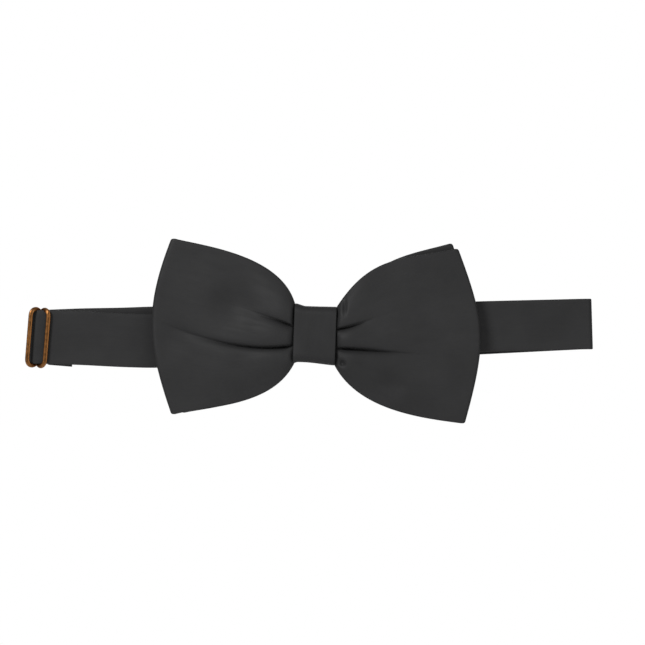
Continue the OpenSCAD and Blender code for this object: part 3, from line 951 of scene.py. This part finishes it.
class BOWTIE_OT_knot_wrap(bpy.types.Operator):
    """Make the satin wrap round the knot and the canvas under it"""
    bl_idname = "bow_tie.knot_wrap"
    bl_label = "Knot wrap"

    def execute(self, context):
        s = context.scene.bow_tie.knot
        wrap = piece("knot_wrap_cloth", cloth_grid(with_wall(self.wrap(s), s.ply, True)),
                     "satin", "bow", ["knot_wrap"])
        canvas = piece("knot_canvas", cloth_grid(with_wall(self.canvas(), 0.22 * MM, True)),
                       "canvas", "bow", ["knot_interlining"])
        return {"FINISHED"}

    @staticmethod
    def wrap(s):
        """The satin: a crowned ring whose top and bottom edges flare a little at its sides."""
        path = rounded_path(KNOT_BACK_D, KNOT_FRONT_D, KNOT_HALF_H, 1.05 * MM, 3.4 * MM,
                            0.45 * MM)
        across, inward = hemmed_rows(KNOT_W / 2, s.edge, s.hem, 30)
        x, depth, up = ring_points(path, across, inward)
        share = x / (KNOT_W / 2)
        fronts = smooth((depth - KNOT_SIDE_D) / KNOT_SIDE_DEEP)
        depth = depth - s.crown * fronts * np.abs(share) ** 2.5
        top = PLAIN_TOP + 0.075 * smooth((-share - 0.45) / 0.5) + 0.01 * smooth(share)
        bottom = (PLAIN_BOTTOM + 0.05 * smooth((-share - 0.75) / 0.25)
                  + 0.075 * smooth((share + 0.5) / 1.7))
        up = np.where(up > 0, up * top, up * bottom)
        points = place_points(x, depth, up + KNOT_Z)
        folds = uneven(points * np.array((1.6, 1.0, 0.35)), 5 * MM, 5.0)
        points[..., 1] += 0.10 * MM * folds * fronts
        return turned(points, KNOT_TILT, 0.0, KNOT_Z)

    @staticmethod
    def canvas():
        """The interlining, narrower than the satin and close inside it."""
        path = rounded_path(KNOT_BACK_D + 0.5 * MM, KNOT_FRONT_D - 0.5 * MM,
                            KNOT_HALF_H * PLAIN_BOTTOM - 0.45 * MM, 0.6 * MM, 2.9 * MM,
                            0.6 * MM)
        half = KNOT_W / 2 - KNOT_CANVAS_INSET
        x, depth, up = ring_points(path, np.linspace(half, -half, 13), np.zeros(13))
        return turned(place_points(x, depth, up + KNOT_Z), KNOT_TILT, 0.0, KNOT_Z)


class BOWTIE_OT_knot_padding(bpy.types.Operator):
    """Make the wadding inside the knot, swollen by a cloth simulation"""
    bl_idname = "bow_tie.knot_padding"
    bl_label = "Knot padding"

    def execute(self, context):
        low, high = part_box("knot_padding")
        middle, size = (low + high) / 2, high - low
        bm = bmesh.new()
        bmesh.ops.create_cube(bm, size=1.0)
        bmesh.ops.subdivide_edges(bm, edges=bm.edges, cuts=11, use_grid_fill=True)
        for vert in bm.verts:
            x, y, z = vert.co
            pinch = 1 - 0.35 * ((2 * z) ** 4 + (2 * x) ** 4) / 2
            vert.co = PAD_SCALE * Vector((x * size.x * 0.72, y * size.y * 0.8 * pinch,
                                          z * size.z * 0.9))
        for face in bm.faces:
            face.smooth = True
        bmesh.ops.recalc_face_normals(bm, faces=bm.faces)
        wadding = piece("knot_wadding", bm, "wadding", "bow", ["knot_padding"])
        self.swell(wadding)
        half = size / 2
        for vert in wadding.data.vertices:
            co = vert.co / PAD_SCALE
            for axis in range(3):
                co[axis] = max(-half[axis], min(half[axis], co[axis]))
            vert.co = co + middle
        return {"FINISHED"}

    @staticmethod
    def swell(obj):
        """Swells a closed mesh with air pressure, keeping every point near its start."""
        scene = bpy.context.scene
        start = [vert.co.copy() for vert in obj.data.vertices]
        cloth = obj.modifiers.new("swell", "CLOTH")
        cloth.settings.use_pressure = True
        cloth.settings.uniform_pressure_force = 4.0
        cloth.settings.quality = 6
        cloth.settings.effector_weights.gravity = 0.0
        for number in range(1, SWELL_FRAMES + 1):
            scene.frame_set(number)
        shaped = obj.evaluated_get(bpy.context.evaluated_depsgraph_get())
        swollen = [vert.co.copy() for vert in shaped.data.vertices]
        obj.modifiers.remove(cloth)
        scene.frame_set(1)
        for vert, first, last in zip(obj.data.vertices, start, swollen):
            moved = last - first
            if moved.length > PAD_CAP:
                moved = moved.normalized() * PAD_CAP
            vert.co = first + moved


# --- The threads -----------------------------------------------------------------------------

BACKWARDS = Vector((0, 1, 0))


def stitch(middle, half, thickness, out):
    """One stitch: a short thread that rises out of the cloth and dips back into it."""
    middle, half = Vector(middle), Vector(half)
    path = []
    for k in range(9):
        t = k / 8
        rise = thickness * (0.55 * math.sin(math.pi * t) - 0.3)
        path.append(middle + half * (2 * t - 1) + out * rise)
    return tube(path, thickness / 2)


def spaced(low, high, count):
    """Heights of evenly spaced stitches between two corners."""
    return [low.z + (high.z - low.z) * (k + 0.5) / count for k in range(count)]


class BOWTIE_OT_threads(bpy.types.Operator):
    """Make the binding thread round the waist and every row of stitches"""
    bl_idname = "bow_tie.threads"
    bl_label = "Threads"

    def execute(self, context):
        knot, band = context.scene.bow_tie.knot, context.scene.bow_tie.band
        self.binding(knot)

        low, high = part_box("knot_closing_stitches")
        parts = [stitch((0.0, -KNOT_BACK_D, z), (1.1 * MM, 0.0, 0.4 * MM), band.stitch, BACKWARDS)
                 for z in spaced(low, high, 7)]
        piece("knot_stitches", join(parts), "thread", "bow", ["knot_closing_stitches"])

        low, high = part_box("sewn_end_stitches")
        parts = []
        for z in spaced(low, high, 7):
            x = (low.x + high.x) / 2 + math.tan(SLIDE_TILT) * (z - SLIDE_Z)
            parts.append(stitch((x, SEWN_BACK_Y, z), (0.0, 0.0, 0.75 * MM), band.stitch,
                                BACKWARDS))
        piece("sewn_end_thread", join(parts), "thread", "adjuster", ["sewn_end_stitches"])

        low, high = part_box("eye_end_stitches")
        parts = []
        for x in (low.x + 0.2 * MM, high.x - 0.2 * MM):
            for z in spaced(low, high, 8):
                for y, out in ((0.0, BACKWARDS), (-DOUBLED_D, -BACKWARDS)):
                    parts.append(stitch((x, y, z), (0.0, 0.0, 0.7 * MM), band.stitch, out))
        piece("eye_end_thread", join(parts), "thread", "rear_right", ["eye_end_stitches"])
        return {"FINISHED"}

    @staticmethod
    def binding(knot):
        """The thread wound round the waist of both bows."""
        low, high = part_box("waist_binding")
        radius = knot.thread / 2
        corner = 0.6 * MM
        ring = rounded_path(-high.y + radius, -low.y - radius, (high.z - low.z) / 2 - radius,
                            corner, corner, 0.9 * MM)[:-1]
        pitch = knot.thread * 1.15
        path = []
        for turn in range(knot.turns):
            for k, (depth, up) in enumerate(ring):
                x = (turn + k / len(ring) - knot.turns / 2) * pitch
                path.append((x, -depth, up + (low.z + high.z) / 2))
        piece("waist_thread", tube(path, radius), "thread", "bow", ["waist_binding"])


# --- The neckband ----------------------------------------------------------------------------

FRONT_LAYER_D = FRONT_FACE_D - HALF_BAND_T
DOUBLED_LAYER_D = 2 * TURN_D - HALF_BAND_T
# The front layers begin under the knot, this far from its middle
FRONT_START_X = 6.6 * MM
# The doubled layer is squeezed in a little where it starts, inside the outer one
SQUEEZE = 0.06 * MM
RIGHT_FOLD_SHEAR = -0.038


def line_height(line, x):
    """Height of a stretch's middle line, softened at its bends."""
    xs, zs = zip(*line)
    spread = 4 * MM
    return np.mean([np.interp(x + d, xs, zs) for d in np.linspace(-spread, spread, 9)], axis=0)


def band_section(half_h, half_t, seam, steps=14):
    """Offset along the normal and height, once round a flat tube with rounded edges. The
    seam runs along the middle of the face on the normal's negative side."""
    flat = half_h - half_t
    turn = np.linspace(0, math.pi, 7)
    section = [(half_t, h) for h in np.linspace(-flat, flat, steps + 1)]
    section += [(half_t * math.cos(a), flat + half_t * math.sin(a)) for a in turn[1:-1]]
    heights = np.sort(np.concatenate([np.linspace(flat, -flat, steps + 1),
                                      np.linspace(-0.6, 0.6, 7) * MM]))[::-1]
    section += [(-half_t + seam * hill(h, 0.28 * MM), h) for h in heights]
    section += [(-half_t * math.cos(a), -flat - half_t * math.sin(a)) for a in turn[1:]]
    return np.array(section)


def band_points(path, heights, section, shear=0.0, fold_x=0.0, widths=1.0):
    """A band along a path of across and depth, with its middle line at the given heights and
    its widths as shares of the section's own. It leans by a shear near its fold."""
    normals = path_normals(path)[:, None, :]
    flat = path[:, None, :] + normals * section[None, :, :1]
    up = section[None, :, 1]
    lean = np.exp(-np.abs(path[:, :1] - fold_x) / (6 * MM))
    z = heights[:, None] + up * np.broadcast_to(widths, heights.shape)[:, None]
    return place_points(flat[..., 0] + shear * up * lean, flat[..., 1], z)


def fold_path(fold_x, side, reach, start_x, end_x):
    """Front layer, fold and rear layer of one side, as across and depth of the middle line."""
    middle, rise = (FRONT_LAYER_D + HALF_BAND_T) / 2, (FRONT_LAYER_D - HALF_BAND_T) / 2
    path = [(start_x, FRONT_LAYER_D), (fold_x, FRONT_LAYER_D)]
    for a in np.radians(np.arange(3.0, 180.0, 3.0)):
        path.append((fold_x + side * (reach - HALF_BAND_T) * math.sin(a),
                     middle + rise * math.cos(a)))
    path += [(fold_x, HALF_BAND_T), (end_x, HALF_BAND_T)]
    return even(np.array(path), 0.4 * MM)


def thin_out(path, fold_x):
    """Every fifth point where the path is straight, and all of them near its fold."""
    kept = [i for i in range(len(path))
            if abs(path[i, 0] - fold_x) < 8 * MM or i % 5 == 0 or i == len(path) - 1]
    return path[kept]


class BOWTIE_OT_neckband(bpy.types.Operator):
    """Make the neckband: its two folded sides, its turns at the hook and the eye, its core and
    its sewn end"""
    bl_idname = "bow_tie.neckband"
    bl_label = "Neckband"

    def execute(self, context):
        s = context.scene.bow_tie.band
        self.section = band_section(BAND_W / 2, HALF_BAND_T, s.seam)
        self.side(s, "left", -1, LEFT_FOLD_X, HOOK_X, LEFT_REAR_LINE, s.slide_reach,
                  math.tan(SLIDE_TILT), s.slack)
        self.side(s, "right", 1, RIGHT_FOLD_X, EYE_X, RIGHT_REAR_LINE, s.fold_reach,
                  RIGHT_FOLD_SHEAR, 0.1 * s.slack)
        self.turn(s, "hook_end", 1, HOOK_X, SLIDE_X + 3 * MM, LEFT_REAR_LINE, "left")
        self.turn(s, "eye_end", -1, EYE_X, EYE_X + 14 * MM, RIGHT_REAR_LINE, "right")
        self.cores(s)
        self.sewn_end(s)
        return {"FINISHED"}

    def side(self, s, name, side, fold_x, end_x, rear_line, reach, shear, slack):
        """One side's front layer, fold and outer rear layer, bending at the fold."""
        path = thin_out(fold_path(fold_x, side, reach, side * FRONT_START_X, end_x), fold_x)
        heights = np.where(path[:, 1] > FOLD_D, line_height(FRONT_LINE, path[:, 0]),
                           line_height(rear_line, path[:, 0]))
        far = np.abs(path[:, 0])
        clear = smooth((far - 36 * MM) / (20 * MM))
        taut = smooth((far - 70 * MM) / (22 * MM)) if side < 0 else 0.0
        heights = heights - s.droop * (clear - taut)
        widths = 1 + 2 * slack / BAND_W * clear
        section = self.section * np.array((side, 1.0))
        points = band_points(path, heights, section, shear, fold_x, widths)
        away = smooth(np.abs(points[..., 0] - fold_x) / (12 * MM))
        points[..., 1] -= 0.10 * MM * uneven(points, 11 * MM, 7.0 + side) * away
        band = piece(f"{name}_band_cloth", cloth_grid(with_wall(points, s.ply, False)), "satin",
                     None, ["front_strap_satin", f"{name}_strap_fold", f"{name}_rear_satin"])
        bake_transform(band)

    def turn(self, s, name, side, bar_x, end_x, line, rear):
        """The band's turn round a bar and the layer doubled back from it."""
        radius = TURN_D - HALF_BAND_T
        path = [(bar_x - side * 1.2 * MM, HALF_BAND_T), (bar_x, HALF_BAND_T)]
        for a in np.radians(np.arange(6.0, 180.0, 6.0)):
            path.append((bar_x + side * radius * math.sin(a), TURN_D - radius * math.cos(a)))
        path += [(bar_x, DOUBLED_LAYER_D), (end_x, DOUBLED_LAYER_D)]
        path = thin_out(even(np.array(path), 0.35 * MM), bar_x)
        heights = line_height(line, path[:, 0])
        points = band_points(path, heights, self.section * np.array((-side, 1.0)))
        tucked = (np.abs(path[:, 1] - HALF_BAND_T) < TINY)[:, None]
        points[..., 2] -= SQUEEZE * tucked * np.sign(points[..., 2] - heights[:, None])
        cloth = piece(f"{name}_cloth", cloth_grid(with_wall(points, s.ply, False)), "satin",
                      f"rear_{rear}", [f"{rear}_rear_satin"])

    def cores(self, s):
        """The interlining strips inside the band."""
        half = BAND_W / 2 - 0.7 * MM
        section = band_section(half, s.core / 2, 0.0)
        strips = [("front_band_canvas", "bow", "front_strap_interlining",
                   [(LEFT_FOLD_X, RIGHT_FOLD_X, FRONT_LAYER_D, FRONT_LINE)]),
                  ("left_band_canvas", "rear_left", "left_rear_interlining",
                   [(LEFT_FOLD_X, HOOK_X, HALF_BAND_T, LEFT_REAR_LINE),
                    (SLIDE_X + 4 * MM, HOOK_X, DOUBLED_LAYER_D, LEFT_REAR_LINE)]),
                  ("right_band_canvas", "rear_right", "right_rear_interlining",
                   [(EYE_X, RIGHT_FOLD_X, HALF_BAND_T, RIGHT_REAR_LINE),
                    (EYE_X, EYE_X + 12 * MM, DOUBLED_LAYER_D, RIGHT_REAR_LINE)])]
        for name, body, node, layers in strips:
            parts = []
            for start, stop, depth, line in layers:
                x = np.linspace(start, stop, max(2, int(abs(stop - start) / (2 * MM))))
                path = np.stack([x, np.full(len(x), depth)], axis=1)
                parts.append(cloth_grid(band_points(path, line_height(line, x), section)))
            canvas = piece(name, join(parts), "canvas", body, [node])

    def sewn_end(self, s):
        """The band's end, turned round the adjuster's centre bar and sewn to itself."""
        inner, outer = 0.62 * MM, 1.08 * MM
        ply, radius = (outer - inner) / 2, (inner + outer) / 2
        apart = 1.1 * ply
        start = math.asin(min(1.0, apart / radius))
        path = [(s.tail, -apart)]
        for a in np.linspace(start, 2 * math.pi - start, 41):
            path.append((radius * math.cos(a), -radius * math.sin(a)))
        path.append((s.tail, apart))
        path = even(np.array(path), 0.22 * MM)
        half = 8.0 * MM + 2.0 * MM * smooth((path[:, 0] - 1.0 * MM) / (4 * MM))
        rows = np.linspace(-1.0, 1.0, 15)
        share = np.concatenate([rows, rows[::-1], rows[:1]])
        offset = 0.8 * ply * np.concatenate([np.ones(15), -np.ones(15), [1.0]])
        flat = path[:, None, :] + path_normals(path)[:, None, :] * offset[None, :, None]
        points = place_points(SLIDE_X + flat[..., 0], SEWN_D + flat[..., 1],
                              SLIDE_Z + half[:, None] * share)
        points = turned(points, SLIDE_TILT, SLIDE_X, SLIDE_Z)
        cloth = piece("sewn_end_cloth", cloth_grid(points), "satin", "adjuster",
                      ["sewn_strap_end"])


# --- The fittings ----------------------------------------------------------------------------

ARC_STEPS = 16
BAR_SIDES = 16
WIRE_SIDES = 14
FLATTENED = 0.7


def rounded(value):
    """A sine or cosine drawn out, so that a bar's section is a rounded oblong."""
    return math.copysign(abs(value) ** FLATTENED, value)


class BOWTIE_OT_slide(bpy.types.Operator):
    """Make the figure-eight slide that sets the band's length"""
    bl_idname = "bow_tie.slide"
    bl_label = "Slide"

    def execute(self, context):
        s = context.scene.bow_tie.fittings
        outer_d = depths("slide_frame")[1] - 0.65 * MM
        half_w, half_h, hump = 4.2 * MM - s.bar_w / 2, 11.5 * MM - s.bar_w / 2, 2.6 * MM
        loop = []
        for end, side in ((1, -1), (1, 1), (-1, 1), (-1, -1)):
            for k in range(ARC_STEPS + 1):
                a = math.pi * k / ARC_STEPS
                across = (side - end * math.cos(a)) * half_w / 2
                depth = outer_d - (outer_d - SEWN_D) * float(smooth(1 - abs(across) / half_w))
                loop.append((across, -depth, end * (half_h - hump + hump * math.sin(a) ** 0.9)))
        path = drop_doubles(np.array(loop))
        path = even(np.concatenate([path, path[:1]]), 0.45 * MM)[:-1]
        centre = [(0.0, -SEWN_D, z) for z in np.linspace(hump - half_h, half_h - hump, 24)]
        bm = join([self.bar(path, s.bar_w / 2, s.bar_t / 2),
                   tube(centre, s.centre_bar / 2, WIRE_SIDES)])
        turn = Matrix.Rotation(SLIDE_TILT, 4, "Y")
        place = Matrix.Translation((SLIDE_X, 0.0, SLIDE_Z))
        bmesh.ops.transform(bm, matrix=place @ turn, verts=bm.verts)
        piece("slide_metal", bm, "bronze", "adjuster", ["slide_frame"])
        return {"FINISHED"}

    @staticmethod
    def bar(path, half_w, half_t):
        """A closed bar whose width is kept in the plane seen from the front."""
        rings = []
        for i, point in enumerate(path):
            way = Vector(path[(i + 1) % len(path)]) - Vector(path[i - 1])
            way.normalize()
            out = (way * way.y - BACKWARDS).normalized()
            side = way.cross(out)
            ring = []
            for k in range(BAR_SIDES + 1):
                a = 2 * math.pi * k / BAR_SIDES
                ring.append(Vector(point) + side * half_w * rounded(math.cos(a))
                            + out * half_t * rounded(math.sin(a)))
            rings.append(ring)
        rings.append(rings[0])
        return cloth_grid(np.array(rings))


def rounded_loop(middle_x, middle_z, half_x, half_z, radius, step):
    """A closed path round a rounded rectangle that faces the front, at the bars' depth."""
    path = []
    for sx, sz, start in ((1, 1, 0), (-1, 1, 90), (-1, -1, 180), (1, -1, 270)):
        for k in range(7):
            a = math.radians(start + 15 * k)
            path.append((middle_x + sx * (half_x - radius) + radius * math.cos(a), -TURN_D,
                         middle_z + sz * (half_z - radius) + radius * math.sin(a)))
    return even(np.array(path + path[:1]), step)[:-1]


class BOWTIE_OT_hook_and_eye(bpy.types.Operator):
    """Make the hook and the eye that close the band"""
    bl_idname = "bow_tie.hook_and_eye"
    bl_label = "Hook and eye"

    def execute(self, context):
        s = context.scene.bow_tie.fittings
        wire = s.wire / 2
        low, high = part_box("eye_ring")
        loop = rounded_loop((low.x + high.x) / 2, (low.z + high.z) / 2,
                            (high.x - low.x) / 2 - wire, (high.z - low.z) / 2 - wire,
                            1.6 * MM, 0.5 * MM)
        piece("eye_metal", tube(loop, wire, WIRE_SIDES, closed=True), "bronze", "eye",
              ["eye_ring"])
        low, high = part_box("hook_plate")
        middle_z = (high.z + low.z) / 2
        cross_x = HOOK_X + TURN_D + 1.2 * MM
        loop = rounded_loop((HOOK_X + cross_x) / 2, middle_z, (cross_x - HOOK_X) / 2,
                            (high.z - low.z) / 2 - wire, 1.1 * MM, 0.4 * MM)
        parts = [tube(loop, wire, WIRE_SIDES, closed=True),
                 self.tongue(s, cross_x, high.x - s.plate, middle_z)]
        piece("hook_metal", join(parts), "bronze", "hook", ["hook_plate"])
        return {"FINISHED"}

    @staticmethod
    def tongue(s, start_x, tip_x, middle_z):
        """A bevelled strip from the hook's frame to its turned-up tip."""
        half, bend = s.plate / 2, 0.9 * MM
        path = [(start_x - 0.3 * MM, TURN_D), (start_x + 0.8 * MM, half + 0.35 * MM)]
        for a in np.radians(np.arange(0.0, 91.0, 10.0)):
            path.append((tip_x + half - bend + bend * math.sin(a),
                         half + bend - bend * math.cos(a)))
        path.append((tip_x + half, DOUBLED_D - 0.1 * MM - half))
        path = even(np.array(path), 0.4 * MM)
        narrowed = 1 - 0.25 * smooth((np.linspace(0, 1, len(path)) - 0.85) / 0.15)
        z = middle_z + 4.0 * MM * narrowed[:, None] * np.linspace(-1, 1, 13)
        wall = path_normals(path) * half
        front = place_points(*np.hsplit(path + wall, 2), z)
        rear = place_points(*np.hsplit(path - wall, 2), z)
        bm = cloth_grid(np.concatenate([front, rear[:, ::-1], front[:, :1]], axis=1))
        sharp = [edge for edge in bm.edges if edge.calc_face_angle(0.0) > math.radians(40)]
        bmesh.ops.bevel(bm, geom=sharp, offset=0.16 * MM, segments=3, profile=0.5,
                        affect="EDGES", material=-1)
        for face in bm.faces:
            face.smooth = True
        return bm


# --- The stage -------------------------------------------------------------------------------

WHITE = (1.0, 1.0, 1.0, 1.0)
FLOOR_RADIUS = 1.5
# Distances from the middle between which the floor fades into the background
FLOOR_FADE = (0.5, 1.45)


class BOWTIE_OT_stage(bpy.types.Operator):
    """Make the camera, the lights and the floor"""
    bl_idname = "bow_tie.stage"
    bl_label = "Stage"

    def execute(self, context):
        s = context.scene.bow_tie.stage
        scene = context.scene
        camera = bpy.data.objects.new("camera", bpy.data.cameras.new("camera"))
        camera.data.lens = s.lens
        camera.data.sensor_width = 36.0
        camera.data.clip_start = 0.01
        camera.location = (s.aim_x, -s.distance - FRONT_BOW.waist_front, s.aim_z)
        camera.rotation_euler = (math.pi / 2, 0.0, 0.0)
        scene.collection.objects.link(camera)
        scene.camera = camera
        scene.view_settings.view_transform = "Standard"
        self.light("key_light", s.key, 0.5, (-0.8, -1.1, 0.72))
        self.light("fill_light", s.fill, 1.2, (0.9, -1.0, 0.2))
        self.light("back_light", 1.3 * s.fill, 1.4, (0.3, 1.6, 0.6))
        self.surroundings(scene, s.ambient)
        self.floor(s.floor_z)
        return {"FINISHED"}

    @staticmethod
    def light(name, power, size, place):
        """A square light that faces the bow."""
        data = bpy.data.lights.new(name, "AREA")
        data.energy = power
        data.size = size
        lamp = bpy.data.objects.new(name, data)
        lamp.location = place
        lamp.rotation_euler = (-Vector(place)).to_track_quat("-Z", "Y").to_euler()
        bpy.context.scene.collection.objects.link(lamp)

    @staticmethod
    def surroundings(scene, ambient):
        """Even soft light from all round, and a white background behind everything."""
        world = bpy.data.worlds.new("studio")
        scene.world = world
        world.use_nodes = True
        nodes, links = world.node_tree.nodes, world.node_tree.links
        nodes.clear()
        mix = nodes.new("ShaderNodeMixShader")
        seen = nodes.new("ShaderNodeLightPath").outputs["Is Camera Ray"]
        links.new(seen, mix.inputs[0])
        for socket, strength in zip(mix.inputs[1:], (ambient, 1.0)):
            backdrop = nodes.new("ShaderNodeBackground")
            backdrop.inputs["Color"].default_value = WHITE
            backdrop.inputs["Strength"].default_value = strength
            links.new(backdrop.outputs[0], socket)
        links.new(mix.outputs[0], nodes.new("ShaderNodeOutputWorld").inputs["Surface"])

    @staticmethod
    def floor(height):
        """A round sheet of pale paper that fades out towards its edge."""
        bm = bmesh.new()
        bmesh.ops.create_circle(bm, cap_ends=True, segments=96, radius=FLOOR_RADIUS)
        bmesh.ops.translate(bm, verts=bm.verts, vec=(0.0, 0.0, height))
        mesh = bpy.data.meshes.new("floor")
        bm.to_mesh(mesh)
        bm.free()
        paper = Finish("floor_paper")
        grain = paper.noise(paper.where("Object"), 60.0)
        paper.give("Base Color", paper.mix(grain, (0.86, 0.86, 0.86, 1), (0.9, 0.9, 0.9, 1)))
        paper.give("Roughness", 0.9)
        away = paper.nodes.new("ShaderNodeVectorMath")
        away.operation = "LENGTH"
        paper.links.new(paper.where("Object"), away.inputs[0])
        clear = paper.nodes.new("ShaderNodeBsdfTransparent")
        fade = paper.nodes.new("ShaderNodeMixShader")
        paper.links.new(paper.span(away.outputs["Value"], *FLOOR_FADE, 0.0, 1.0), fade.inputs[0])
        paper.links.new(paper.shader.outputs[0], fade.inputs[1])
        paper.links.new(clear.outputs[0], fade.inputs[2])
        paper.links.new(fade.outputs[0], paper.surface)
        mesh.materials.append(paper.material)
        ground = bpy.data.objects.new("floor", mesh)
        bpy.context.scene.collection.objects.link(ground)


class BOWTIE_PT_maker(bpy.types.Panel):
    """The bow tie's pieces and their settings"""
    bl_idname = "BOWTIE_PT_maker"
    bl_label = "Bow Tie"
    bl_space_type = "VIEW_3D"
    bl_region_type = "UI"
    bl_category = "Bow Tie"

    def draw(self, context):
        layout = self.layout
        settings = context.scene.bow_tie
        for name in ("bows", "knot", "band", "fittings", "finishes", "stage"):
            group = getattr(settings, name)
            box = layout.box()
            box.label(text=name.capitalize())
            for prop in group.bl_rna.properties:
                if prop.identifier not in ("rna_type", "name"):
                    box.prop(group, prop.identifier)
        for index, label in enumerate(("Front bow", "Back bow")):
            layout.operator("bow_tie.bow", text=label).which = index
        for operator in ("knot_wrap", "knot_padding", "threads", "neckband", "slide",
                         "hook_and_eye", "stage"):
            layout.operator(f"bow_tie.{operator}")


CLASSES = (
    BOWTIE_PG_bows, BOWTIE_PG_knot, BOWTIE_PG_band, BOWTIE_PG_fittings, BOWTIE_PG_finishes,
    BOWTIE_PG_stage, BOWTIE_PG_settings, BOWTIE_OT_bow, BOWTIE_OT_knot_wrap,
    BOWTIE_OT_knot_padding, BOWTIE_OT_threads, BOWTIE_OT_neckband, BOWTIE_OT_slide,
    BOWTIE_OT_hook_and_eye, BOWTIE_OT_stage, BOWTIE_PT_maker,
)


def register():
    for cls in CLASSES:
        bpy.utils.register_class(cls)
    bpy.types.Scene.bow_tie = PointerProperty(type=BOWTIE_PG_settings)


def unregister():
    del bpy.types.Scene.bow_tie
    for cls in reversed(CLASSES):
        bpy.utils.unregister_class(cls)


def main():
    register()
    bpy.ops.bow_tie.stage()
    bpy.ops.bow_tie.slide()
    bpy.ops.bow_tie.hook_and_eye()
    bpy.ops.bow_tie.threads()
    bpy.ops.bow_tie.knot_padding()
    bpy.ops.bow_tie.bow(which=0)
    bpy.ops.bow_tie.bow(which=1)
    bpy.ops.bow_tie.knot_wrap()
    bpy.ops.bow_tie.neckband()


if __name__ == "__main__":
    main()
